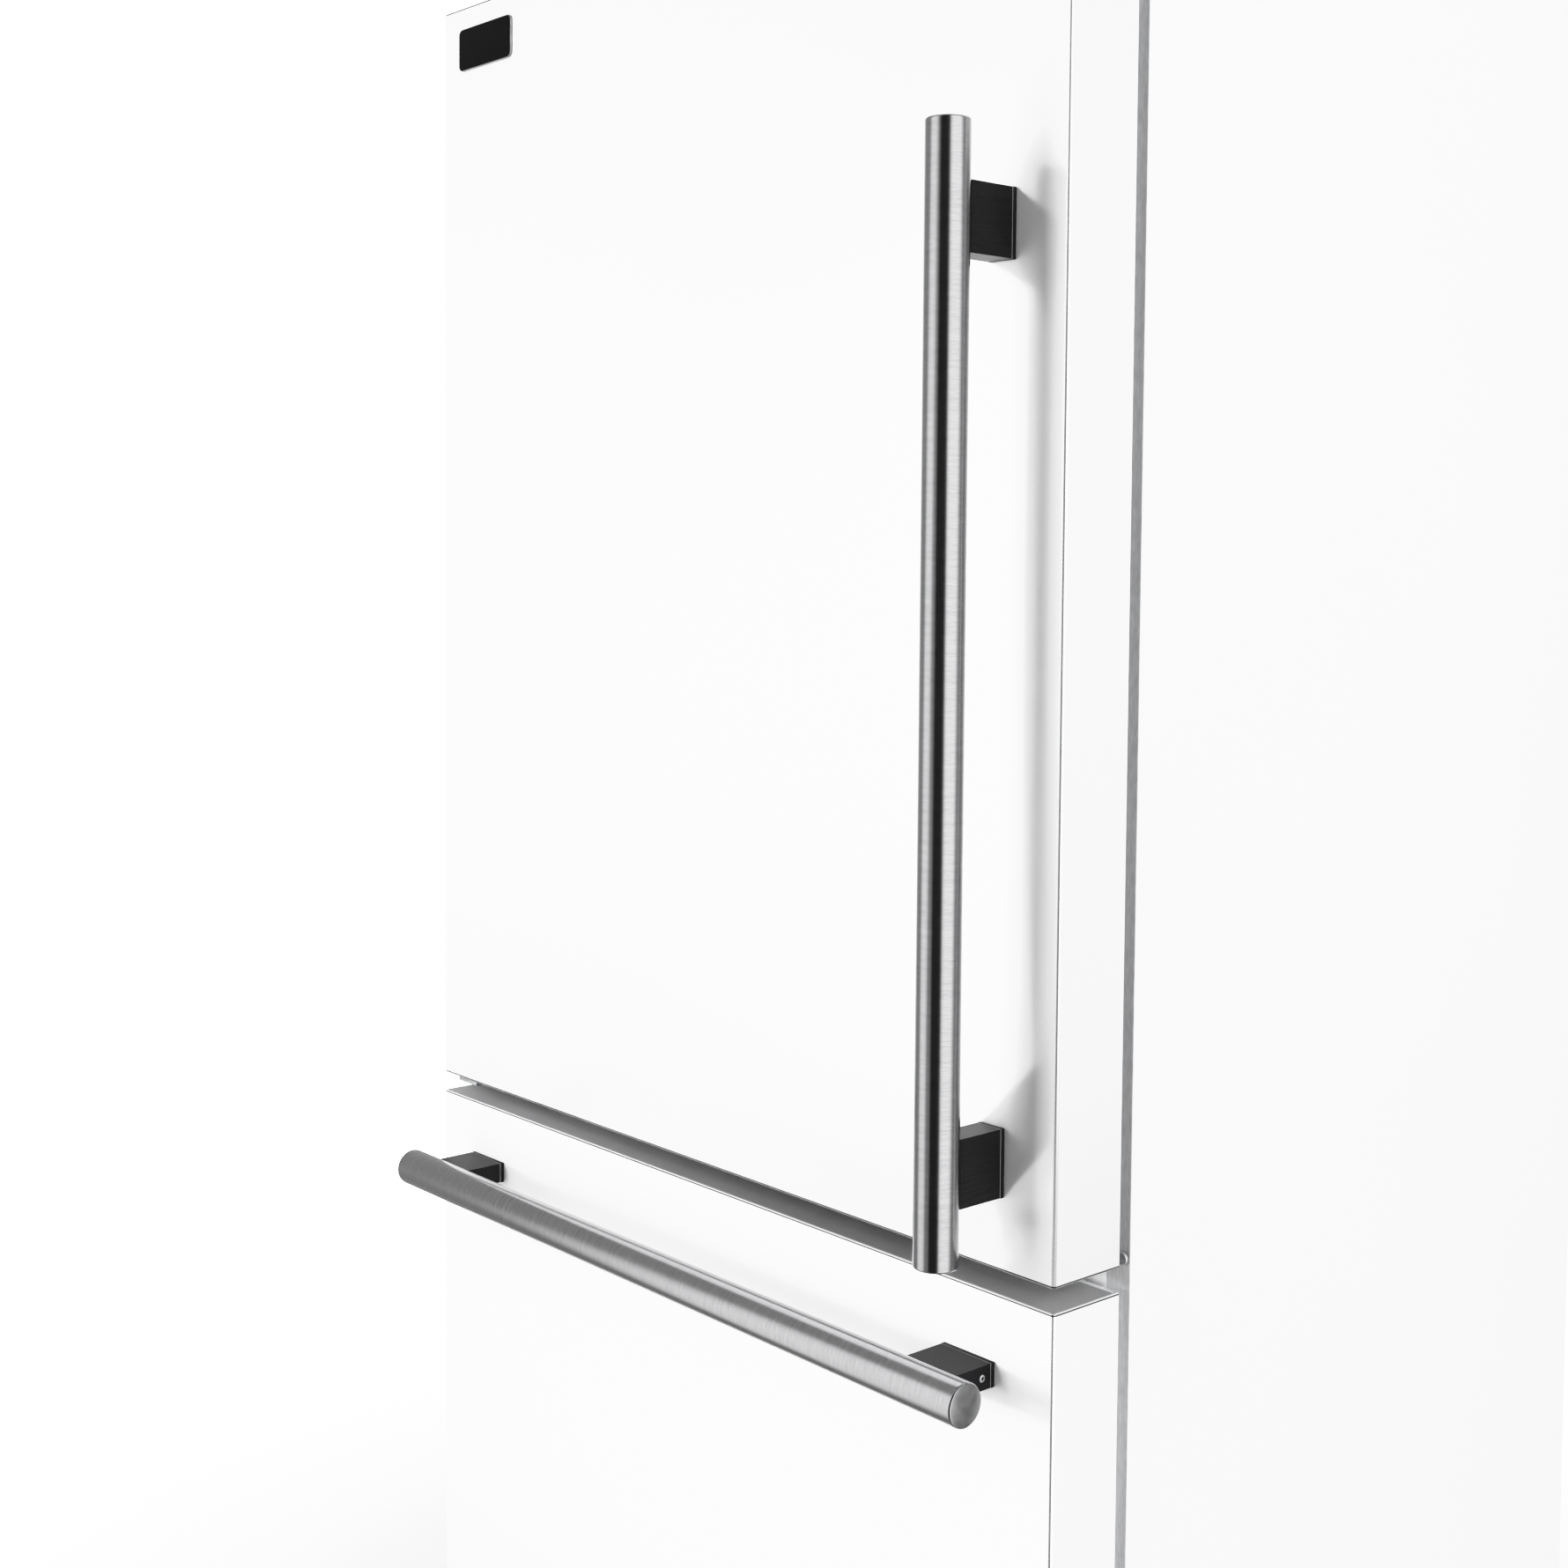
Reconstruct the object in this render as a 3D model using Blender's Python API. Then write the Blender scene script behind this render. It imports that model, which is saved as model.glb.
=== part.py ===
"""A free-standing refrigerator: one left-hinged door above a full-width freezer drawer.

Metres, +Z up. X runs to the right as seen from the front and Y runs to the back. The origin is on
the floor, under the middle of the bounding box. Everything is closed and at rest.
"""

import math

import bmesh
import bpy
from mathutils import Matrix, Vector

# Driving dimensions of the whole appliance.
WIDTH = 0.826
HEIGHT = 1.772
DOOR_TOP = 1.750
DOOR_HEIGHT = 1.0654
DRAWER_HEIGHT = 0.590
FRONT_GAP = 0.0189
PANEL_DEPTH = 0.0727
REVEAL = 0.0122
CABINET_DEPTH = 0.655
BAR_STANDOFF = 0.059
BAR_RADIUS = 0.0168

CLEAR = 0.0003
HALF = WIDTH / 2
DEPTH = BAR_STANDOFF + BAR_RADIUS + PANEL_DEPTH + REVEAL + CABINET_DEPTH
FRONT = BAR_STANDOFF + BAR_RADIUS - DEPTH / 2
PANEL_BACK = FRONT + PANEL_DEPTH
CABINET_FRONT = PANEL_BACK + REVEAL
CABINET_BACK = CABINET_FRONT + CABINET_DEPTH
DOOR_BOTTOM = DOOR_TOP - DOOR_HEIGHT
DRAWER_TOP = DOOR_BOTTOM - FRONT_GAP
DRAWER_BOTTOM = DRAWER_TOP - DRAWER_HEIGHT

# The cabinet's steel, foam and liners.
STEEL = 0.002
SIDE_WALL = 0.045
OPENING = HALF - SIDE_WALL
CABINET_BOTTOM = 0.030
FLOOR_PLATE = 0.054
FLOOR_THICK = 0.003
FOAM_BOTTOM = FLOOR_PLATE + FLOOR_THICK + CLEAR
FRIDGE_FLOOR = DOOR_BOTTOM + 0.0206
FRIDGE_CEILING = DOOR_TOP - 0.030
FREEZER_FLOOR = 0.105
FREEZER_CEILING = DRAWER_TOP - 0.0205
BACK_WALL = 0.055
LINER_WALL = 0.0025
LINER_SIDE = OPENING - CLEAR - LINER_WALL
LINER_BACK = CABINET_BACK - BACK_WALL - LINER_WALL
MACHINE_CEILING = 0.300
MACHINE_DEPTH = 0.225
STEP_TOP = 0.350
STEP_DEPTH = 0.270

# The door and drawer panels.
SKIN = 0.0015
SKIN_CORNER = 0.003
CAP_THICK = 0.012
LINER_PLATE = 0.004
GASKET_SIDE = 0.0235
GASKET_END = 0.004
GASKET_WIDTH = 0.016
GASKET_FREE = 0.0015
DYKE_HALF = 0.355
DYKE_WIDTH = 0.025
DYKE_DEPTH = 0.045
DYKE_BOTTOM = 0.722
DYKE_TOP = 1.703
PLUG_DEPTH = REVEAL + 0.010
PLUG_BOTTOM = 0.115
PLUG_TOP = 0.635

# Hinges. The door turns on one vertical axis near its left edge.
HINGE_X = 0.015 - HALF
HINGE_Y = FRONT + 0.030
PIN_RADIUS = 0.005
PIN_HOLE = 0.0057
PIN_DEPTH = 0.011
HINGE_PLATE = 0.004
COVER_FRONT = FRONT + 0.050

# Handles: a round bar on two flat posts.
DOOR_BAR_X = 0.3509
DOOR_BAR_HALF = 0.4123
DOOR_BAR_MIDDLE = DOOR_BOTTOM + 0.4255
DOOR_POST_REACH = 0.344
DRAWER_BAR_Z = DRAWER_TOP - 0.0608
DRAWER_BAR_HALF = 0.381
DRAWER_BAR_SHIFT = 0.002
DRAWER_POST_REACH = 0.330
POST_LONG = 0.0515
DOOR_POST_THICK = 0.024
DRAWER_POST_THICK = 0.0185
BADGE_LEFT = 0.0304
BADGE_DROP = 0.0215
BADGE_WIDTH = 0.0907
BADGE_HEIGHT = 0.0405

# Inside the fridge.
SHELF_SIDE = LINER_SIDE - 0.0007
SHELF_FRONT = CABINET_FRONT + 0.140
SHELF_BACK = CABINET_FRONT + 0.570
SHELF_THICK = 0.012
SHELF_HEIGHTS = {"upper": 1.400, "lower": 1.150}
SHELF_RIM = 0.020
GLASS_THICK = 0.004
CRISPER_COVER_Z = 0.915
CRISPER_FRONT = CABINET_FRONT + 0.215
CRISPER_BACK = CABINET_FRONT + 0.555
CRISPER_TOP = 0.905
BIN_HALF = 0.3285
BIN_DEPTH = 0.115
BIN_WALL = 0.003
DAIRY_AXIS_Y = PANEL_BACK + 0.010
DAIRY_AXIS_Z = 1.560

# Inside the freezer.
SLIDE_FRONT = CABINET_FRONT + 0.018
SLIDE_BACK = CABINET_FRONT + 0.515
SLIDE_LOW = 0.375
SLIDE_HIGH = 0.425
OUTER_SLIDE = (0.3485, LINER_SIDE - CLEAR)
MIDDLE_SLIDE = (0.3440, 0.3620)
FRAME_RAIL = (0.3350, 0.3585)
RAIL_TOP = 0.440
BASKET_BACK = CABINET_FRONT + 0.335
BASKET_FRONT = CABINET_FRONT + 0.030
BASKET_BOTTOM = 0.130

# The machine compartment at the back, below the freezer.
MACHINE_Y = CABINET_BACK - 0.115
COMPRESSOR_X = 0.215
FAN_Z = 0.155
FAN_RADIUS = 0.068
SHROUD_X = -0.010
FOOT_X = 0.345
FOOT_Y = CABINET_FRONT + 0.070
ROLLER_X = 0.355
ROLLER_Y = CABINET_BACK - 0.065
ROLLER_RADIUS = 0.022


def clear_scene():
    for obj in list(bpy.data.objects):
        bpy.data.objects.remove(obj, do_unlink=True)


def make_material(name, colour, roughness, metallic=0.0):
    material = bpy.data.materials.new(name)
    material.use_nodes = True
    shader = material.node_tree.nodes["Principled BSDF"]
    shader.inputs["Base Color"].default_value = (*colour, 1.0)
    shader.inputs["Roughness"].default_value = roughness
    shader.inputs["Metallic"].default_value = metallic
    return material


def mesh_from(bm):
    bmesh.ops.recalc_face_normals(bm, faces=bm.faces)
    mesh = bpy.data.meshes.new("solid")
    bm.to_mesh(mesh)
    bm.free()
    return mesh


def box(x, y, z):
    """A block between two values on each axis, each given as a (low, high) pair."""
    bm = bmesh.new()
    bmesh.ops.create_cube(bm, size=1.0)
    for vert in bm.verts:
        for axis, (low, high) in enumerate((x, y, z)):
            vert.co[axis] = high if vert.co[axis] > 0 else low
    return mesh_from(bm)


def span(middle, half):
    return (middle - half, middle + half)


def mirrored(pair, side):
    """A (low, high) pair on the right, or its mirror image on the left where side is -1."""
    return tuple(sorted(side * value for value in pair))


def cylinder(centre, axis, radius, length, sides=24):
    bm = bmesh.new()
    turn = Vector((0, 0, 1)).rotation_difference(Vector(axis)).to_matrix().to_4x4()
    bmesh.ops.create_cone(
        bm,
        cap_ends=True,
        segments=sides,
        radius1=radius,
        radius2=radius,
        depth=length,
        matrix=Matrix.Translation(centre) @ turn,
    )
    return mesh_from(bm)


def turned(centre, profile, sides=32):
    """A solid of revolution about a vertical axis. The profile lists (radius, height) pairs upwards."""
    bm = bmesh.new()
    rings = []
    for radius, height in profile:
        ring = []
        for i in range(sides):
            angle = 2 * math.pi * i / sides
            offset = Vector((radius * math.cos(angle), radius * math.sin(angle), height))
            ring.append(bm.verts.new(Vector(centre) + offset))
        rings.append(ring)
    bm.faces.new(rings[0])
    bm.faces.new(rings[-1])
    for lower, upper in zip(rings, rings[1:]):
        for i in range(sides):
            j = (i + 1) % sides
            bm.faces.new((lower[i], lower[j], upper[j], upper[i]))
    return mesh_from(bm)


def prism(outline, place, low, high):
    """An outline of (u, v) pairs pushed from low to high. place turns (u, v, w) into a point."""
    bm = bmesh.new()
    ends = [[bm.verts.new(place(u, v, w)) for u, v in outline] for w in (low, high)]
    bm.faces.new(ends[0])
    bm.faces.new(ends[1])
    for i in range(len(outline)):
        j = (i + 1) % len(outline)
        bm.faces.new((ends[0][i], ends[0][j], ends[1][j], ends[1][i]))
    return mesh_from(bm)


def side_profile(outline, half_width):
    """A prism across the width whose outline is drawn in Y and Z."""
    return prism(outline, lambda y, z, x: (x, y, z), -half_width, half_width)


def open_box(x, y, z, wall, opening):
    """A box with one side open, given as a unit vector pointing out of that side."""
    mesh = box(x, y, z)
    bm = bmesh.new()
    bm.from_mesh(mesh)
    bm.normal_update()
    outward = Vector(opening)
    mouth = [face for face in bm.faces if face.normal.dot(outward) > 0.9]
    bmesh.ops.inset_region(bm, faces=mouth, thickness=wall, use_even_offset=True)
    floor = bmesh.ops.extrude_discrete_faces(bm, faces=mouth)["faces"]
    sides = (x, y, z)
    depth = sum(abs(outward[i]) * (sides[i][1] - sides[i][0]) for i in range(3)) - wall
    verts = {vert for face in floor for vert in face.verts}
    bmesh.ops.translate(bm, verts=list(verts), vec=-outward * depth)
    return mesh_from(bm)


def build(name, material, base, join=(), cut=(), pivot=(0.0, 0.0, 0.0)):
    """One closed solid: the base mesh with others joined to it, then cut from it."""
    obj = bpy.data.objects.new(name, base)
    bpy.context.collection.objects.link(obj)
    tools = []
    for operation, meshes in (("UNION", join), ("DIFFERENCE", cut)):
        for mesh in meshes:
            tool = bpy.data.objects.new("tool", mesh)
            bpy.context.collection.objects.link(tool)
            modifier = obj.modifiers.new(operation, "BOOLEAN")
            modifier.operation = operation
            modifier.object = tool
            tools.append(tool)
    if tools:
        graph = bpy.context.evaluated_depsgraph_get()
        obj.data = bpy.data.meshes.new_from_object(obj.evaluated_get(graph))
        obj.modifiers.clear()
    for tool in tools:
        bpy.data.objects.remove(tool)
    obj.data.name = name
    obj.data.transform(Matrix.Translation(-Vector(pivot)))
    obj.location = pivot
    obj.data.materials.clear()
    obj.data.materials.append(material)
    return obj


def soften(obj, width, segments=2):
    bevel = obj.modifiers.new("soft edges", "BEVEL")
    bevel.width = width
    bevel.segments = segments
    bevel.limit_method = "ANGLE"
    bevel.harden_normals = False


def shade_round(obj):
    obj.data.shade_smooth()
    obj.data.set_sharp_from_angle(angle=math.radians(35))


def bent_tube(name, material, points, radius):
    """A tube along a polyline, as a curve with a round bevel and closed ends."""
    curve = bpy.data.curves.new(name, "CURVE")
    curve.dimensions = "3D"
    curve.bevel_depth = radius
    curve.bevel_resolution = 2
    curve.use_fill_caps = True
    spline = curve.splines.new("POLY")
    spline.points.add(len(points) - 1)
    for point, place in zip(spline.points, points):
        point.co = (*place, 1.0)
    curve.materials.append(material)
    obj = bpy.data.objects.new(name, curve)
    bpy.context.collection.objects.link(obj)
    return obj


def serpentine(left, right, y, bottom, pitch, passes, steps=4):
    """Points of a tube that runs to and fro across X while it climbs, with half-round turns."""
    points = []
    for i in range(passes):
        z = bottom + i * pitch
        ends = (left, right) if i % 2 == 0 else (right, left)
        points += [(ends[0], y, z), (ends[1], y, z)]
        if i == passes - 1:
            break
        out = 1 if ends[1] > ends[0] else -1
        for k in range(1, steps):
            angle = math.pi * k / steps
            bulge = out * pitch / 2 * math.sin(angle)
            points.append((ends[1] + bulge, y, z + pitch / 2 * (1 - math.cos(angle))))
    return points


def fan(name, material, centre, axis, radius, hub_radius, length, blades=5):
    """A hub with flat blades pitched at 30 degrees, turning about its own axis."""
    turn = Vector((0, 0, 1)).rotation_difference(Vector(axis)).to_matrix().to_4x4()
    frame = Matrix.Translation(centre) @ turn
    vanes = []
    for i in range(blades):
        vane = box((hub_radius * 0.6, radius), span(0, radius * 0.28), span(0, 0.0012))
        pitch = Matrix.Rotation(math.radians(24), 4, "X")
        vane.transform(frame @ Matrix.Rotation(2 * math.pi * i / blades, 4, "Z") @ pitch)
        vanes.append(vane)
    hub = cylinder(centre, axis, hub_radius, length, sides=20)
    shade_round(build(name, material, hub, join=vanes, pivot=centre))


def freezer_outline(grow):
    """The freezer cavity from the side, with the step over the machine compartment."""
    back = CABINET_BACK - BACK_WALL
    step = CABINET_BACK - STEP_DEPTH
    return (
        (CABINET_FRONT - grow, FREEZER_FLOOR - grow),
        (step - 0.030 + grow, FREEZER_FLOOR - grow),
        (step + grow, STEP_TOP - grow),
        (back + grow, STEP_TOP - grow),
        (back + grow, FREEZER_CEILING + grow),
        (CABINET_FRONT - grow, FREEZER_CEILING + grow),
    )


def cabinet_shell(white):
    deep = (CABINET_FRONT, CABINET_BACK)
    hollow = (CABINET_FRONT + STEEL, CABINET_BACK + 0.01)
    front = (CABINET_FRONT - 0.01, CABINET_FRONT + 0.01)
    low = CABINET_BOTTOM
    shell = box((-HALF, HALF), deep, (low, DOOR_TOP))
    cuts = (
        box(span(0, HALF - STEEL), hollow, (low - 0.01, DOOR_TOP - STEEL)),
        box(span(0, OPENING), front, (FRIDGE_FLOOR, FRIDGE_CEILING)),
        box(span(0, OPENING), front, (FREEZER_FLOOR, FREEZER_CEILING)),
        box(span(0, OPENING), front, (low - 0.01, FLOOR_PLATE)),
    )
    build("cabinet_shell", white, shell, cut=cuts)


def cabinet_foam(foam):
    front = CABINET_FRONT + STEEL + CLEAR
    back = CABINET_BACK - STEEL
    machine = CABINET_BACK - MACHINE_DEPTH
    top = DOOR_TOP - STEEL - CLEAR
    outline = (
        (front, FOAM_BOTTOM),
        (machine - 0.020, FOAM_BOTTOM),
        (machine, MACHINE_CEILING),
        (back, MACHINE_CEILING),
        (back, top),
        (front, top),
    )
    fridge = box(
        span(0, OPENING),
        (CABINET_FRONT - 0.01, CABINET_BACK - BACK_WALL + CLEAR),
        (FRIDGE_FLOOR, FRIDGE_CEILING),
    )
    freezer = side_profile(freezer_outline(CLEAR), OPENING)
    block = side_profile(outline, HALF - STEEL - CLEAR)
    build("cabinet_foam", foam, block, cut=(fridge, freezer))


def fridge_liner(plastic):
    deep = (CABINET_FRONT, LINER_BACK + LINER_WALL)
    shell = open_box(
        span(0, OPENING - CLEAR),
        deep,
        (FRIDGE_FLOOR + CLEAR, FRIDGE_CEILING - CLEAR),
        LINER_WALL,
        (0, -1, 0),
    )
    ledges = []
    for height in [*SHELF_HEIGHTS.values(), CRISPER_COVER_Z]:
        for side in (-1, 1):
            ledges.append(
                box(
                    mirrored((LINER_SIDE - 0.006, LINER_SIDE + 0.001), side),
                    (SHELF_FRONT, SHELF_BACK),
                    (height - 0.008, height - CLEAR),
                )
            )
    build("fridge_liner", plastic, shell, join=ledges)


def freezer_liner(plastic):
    shell = side_profile(freezer_outline(0.0), OPENING - CLEAR)
    hollow = [list(point) for point in freezer_outline(-LINER_WALL)]
    hollow[0][0] = CABINET_FRONT - 0.01
    hollow[-1][0] = CABINET_FRONT - 0.01
    build("freezer_liner", plastic, shell, cut=(side_profile(hollow, LINER_SIDE),))


def rear_panel(steel):
    sheet = box(
        span(0, HALF - STEEL - CLEAR),
        (CABINET_BACK - STEEL + CLEAR, CABINET_BACK),
        (MACHINE_CEILING, DOOR_TOP - STEEL - CLEAR),
    )
    build("rear_panel", steel, sheet)


def compressor_cover(steel):
    sheet = box(
        span(0, HALF - STEEL - CLEAR),
        (CABINET_BACK - 0.0015, CABINET_BACK),
        (FLOOR_PLATE + FLOOR_THICK + CLEAR, MACHINE_CEILING - 0.001),
    )
    slots = []
    for column in (-0.21, 0.0, 0.21):
        for row in range(6):
            z = 0.100 + 0.030 * row
            deep = span(CABINET_BACK, 0.01)
            slots.append(box(span(column, 0.075), deep, span(z, 0.005)))
    build("compressor_cover", steel, sheet, cut=slots)


def base_frame(steel):
    """The chassis: floor plate, side rails, foot blocks, roller forks, drain pan and fan shroud."""
    top = FLOOR_PLATE + FLOOR_THICK
    deep = (CABINET_FRONT + STEEL + CLEAR, CABINET_BACK - STEEL)
    rail = HALF - STEEL - CLEAR
    machine = CABINET_BACK - MACHINE_DEPTH
    plate = box(span(0, rail), deep, (FLOOR_PLATE, top))
    join = []
    cut = []
    for side in (-1, 1):
        join.append(box(mirrored((rail - 0.003, rail), side), deep, (CABINET_BOTTOM, top)))
        foot = (side * FOOT_X, FOOT_Y)
        join.append(
            box(span(foot[0], 0.028), span(foot[1], 0.028), (0.036, FLOOR_PLATE + 0.001))
        )
        cut.append(cylinder((*foot, 0.05), (0, 0, 1), 0.0066, 0.05, sides=16))
        roller = side * ROLLER_X
        for cheek in (-0.014, 0.011):
            join.append(
                box(
                    (roller + cheek, roller + cheek + 0.003),
                    span(ROLLER_Y, 0.016),
                    (0.010, FLOOR_PLATE + 0.001),
                )
            )
        axle = (roller, ROLLER_Y, ROLLER_RADIUS)
        join.append(cylinder(axle, (1, 0, 0), 0.004, 0.026, sides=12))
        cut.append(
            box(span(roller, 0.0105), span(ROLLER_Y, 0.026), (0.0300, FLOOR_PLATE + 0.0005))
        )
    pan = (-0.375, -0.060)
    pan_deep = (machine + 0.012, CABINET_BACK - 0.020)
    pan_high = (top - 0.001, 0.078)
    wall = 0.002
    join += [
        box(pan, (pan_deep[0], pan_deep[0] + wall), pan_high),
        box(pan, (pan_deep[1] - wall, pan_deep[1]), pan_high),
        box((pan[0], pan[0] + wall), pan_deep, pan_high),
        box((pan[1] - wall, pan[1]), pan_deep, pan_high),
    ]
    shroud_high = (top - 0.001, FAN_Z + FAN_RADIUS + 0.022)
    shroud = box((SHROUD_X, SHROUD_X + 0.003), span(MACHINE_Y, 0.095), shroud_high)
    cut_fan = cylinder((SHROUD_X, MACHINE_Y, FAN_Z), (1, 0, 0), FAN_RADIUS + 0.006, 0.02)
    join_late = (
        box((SHROUD_X + 0.0005, SHROUD_X + 0.0025), span(MACHINE_Y, 0.010), shroud_high),
        cylinder((SHROUD_X + 0.024, MACHINE_Y, FAN_Z), (1, 0, 0), 0.024, 0.045, sides=20),
    )
    holed = build("shroud", steel, shroud, cut=(cut_fan,))
    motor = build("fan_motor", steel, holed.data, join=join_late)
    join.append(motor.data)
    bpy.data.objects.remove(holed)
    bpy.data.objects.remove(motor)
    build("base_frame", steel, plate, join=join, cut=cut)


def toe_grille(plastic):
    deep = (CABINET_FRONT - 0.0103, CABINET_FRONT - CLEAR)
    panel = box(span(0, 0.405), deep, (0.012, 0.070))
    slots = []
    for column in range(-4, 5):
        for row in range(3):
            z = 0.026 + 0.015 * row
            slots.append(box(span(column * 0.085, 0.036), span(deep[0], 0.02), span(z, 0.0035)))
    build("toe_grille", plastic, panel, cut=slots)


def foot(name, plastic, side):
    """A levelling foot: a threaded stem with a wide pad."""
    profile = (
        (0.019, 0.0),
        (0.021, 0.002),
        (0.021, 0.009),
        (0.014, 0.013),
        (0.012, 0.013),
        (0.012, 0.022),
        (0.006, 0.022),
        (0.006, 0.052),
    )
    pivot = (side * FOOT_X, FOOT_Y, 0.0)
    shade_round(build(name, plastic, turned(pivot, profile, sides=24), pivot=pivot))


def roller(name, plastic, side):
    pivot = (side * ROLLER_X, ROLLER_Y, ROLLER_RADIUS)
    wheel = cylinder(pivot, (1, 0, 0), ROLLER_RADIUS, 0.018, sides=32)
    bore = cylinder(pivot, (1, 0, 0), 0.0046, 0.03, sides=12)
    shade_round(build(name, plastic, wheel, cut=(bore,), pivot=pivot))


def compressor(enamel):
    """A welded can with a domed lid on a wide foot, with its terminal box on the side."""
    bottom = FLOOR_PLATE + FLOOR_THICK + CLEAR
    radius = 0.074
    profile = [(0.086, 0.0), (0.086, 0.004), (radius, 0.006), (radius, 0.090), (0.077, 0.094)]
    profile += [(0.077, 0.100)]
    for k in range(1, 6):
        angle = math.pi / 2 * k / 6
        profile.append((radius * math.cos(angle), 0.100 + 0.075 * math.sin(angle)))
    centre = (COMPRESSOR_X, MACHINE_Y, bottom)
    can = turned(centre, profile, sides=28)
    terminal = box(
        (COMPRESSOR_X - 0.105, COMPRESSOR_X - 0.060),
        span(MACHINE_Y, 0.028),
        (bottom + 0.045, bottom + 0.095),
    )
    shade_round(build("compressor", enamel, can, join=(terminal,)))


def condenser(copper):
    points = serpentine(-0.355, -0.095, MACHINE_Y, 0.095, 0.022, 7)
    bent_tube("condenser_coil", copper, points, 0.004)


def evaporator(aluminium):
    points = serpentine(-0.300, 0.300, CABINET_BACK - 0.076, 0.400, 0.036, 6)
    bent_tube("evaporator_coil", aluminium, points, 0.004)


def freezer_duct_panel(plastic):
    deep = (CABINET_BACK - 0.122, CABINET_BACK - 0.112)
    fan_z = 0.510
    panel = box(span(0, 0.3640), deep, (STEP_TOP + 0.004, FREEZER_CEILING - 0.004))
    mouth = cylinder((0.0, deep[0], fan_z), (0, 1, 0), 0.056, 0.05)
    slots = []
    for column in (-0.27, -0.16, 0.16, 0.27):
        for z in (0.590, 0.605, 0.380, 0.395):
            slots.append(box(span(column, 0.045), span(deep[0], 0.02), span(z, 0.004)))
    holed = build("holed", plastic, panel, cut=(mouth, *slots))
    strut = box(span(0, 0.058), (deep[0] + 0.001, deep[0] + 0.006), span(fan_z, 0.006))
    motor = cylinder((0.0, deep[0] + 0.001, fan_z), (0, 1, 0), 0.018, 0.014)
    mesh = holed.data
    bpy.data.objects.remove(holed)
    build("freezer_duct_panel", plastic, mesh, join=(strut, motor))
    centre = (0.0, CABINET_BACK - 0.101, fan_z)
    fan("evaporator_fan", plastic, centre, (0, 1, 0), 0.050, 0.014, 0.012)


def fridge_duct_panel(plastic):
    panel = box(span(0, 0.160), (LINER_BACK - 0.018, LINER_BACK - CLEAR), (0.955, 1.660))
    slots = []
    for z in (1.030, 1.100, 1.220, 1.290, 1.480, 1.550, 1.620):
        for side in (-1, 1):
            slots.append(box(span(side * 0.100, 0.035), span(LINER_BACK - 0.018, 0.012), span(z, 0.006)))
    build("fridge_duct_panel", plastic, panel, cut=slots)


def light_unit(plastic):
    """The control housing on the fridge's ceiling, with its lens standing out below."""
    ceiling = FRIDGE_CEILING - CLEAR - LINER_WALL - CLEAR
    housing = box(span(0, 0.180), span(CABINET_FRONT + 0.270, 0.100), (ceiling - 0.022, ceiling))
    lens = box(
        span(0, 0.110),
        span(CABINET_FRONT + 0.290, 0.050),
        (ceiling - 0.030, ceiling - 0.021),
    )
    build("control_panel", plastic, housing, join=(lens,))


def shelf(name, height, frame_plastic, glass):
    deep = (SHELF_FRONT, SHELF_BACK)
    inner = (SHELF_FRONT + SHELF_RIM, SHELF_BACK - SHELF_RIM)
    rim_half = SHELF_SIDE - SHELF_RIM
    seat = 0.005
    frame = box(span(0, SHELF_SIDE), deep, (height, height + SHELF_THICK))
    cuts = (
        box(span(0, rim_half), inner, (height - 0.01, height + 0.02)),
        box(
            span(0, rim_half + seat),
            (inner[0] - seat, inner[1] + seat),
            (height + SHELF_THICK - GLASS_THICK - 0.001, height + 0.02),
        ),
    )
    build(name + "_shelf_frame", frame_plastic, frame, cut=cuts)
    pane = box(
        span(0, rim_half + seat - CLEAR),
        (inner[0] - seat + CLEAR, inner[1] + seat - CLEAR),
        (height + SHELF_THICK - GLASS_THICK - 0.001 + CLEAR, height + SHELF_THICK - 0.0005),
    )
    build(name + "_shelf_glass", glass, pane)


def crisper_cover(glass):
    pane = box(
        span(0, SHELF_SIDE),
        (SHELF_FRONT, SHELF_BACK),
        (CRISPER_COVER_Z, CRISPER_COVER_Z + 0.006),
    )
    build("crisper_cover", glass, pane)


def crisper(name, plastic, side):
    wide = mirrored((0.004, LINER_SIDE - 0.004), side)
    floor = FRIDGE_FLOOR + CLEAR + LINER_WALL + 0.0005
    drawer = open_box(wide, (CRISPER_FRONT, CRISPER_BACK), (floor, CRISPER_TOP), 0.003, (0, 0, 1))
    grip = box(
        span(side * 0.184, 0.080),
        (CRISPER_FRONT - 0.014, CRISPER_FRONT + 0.001),
        (CRISPER_TOP - 0.008, CRISPER_TOP),
    )
    build(name, plastic, drawer, join=(grip,))


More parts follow.
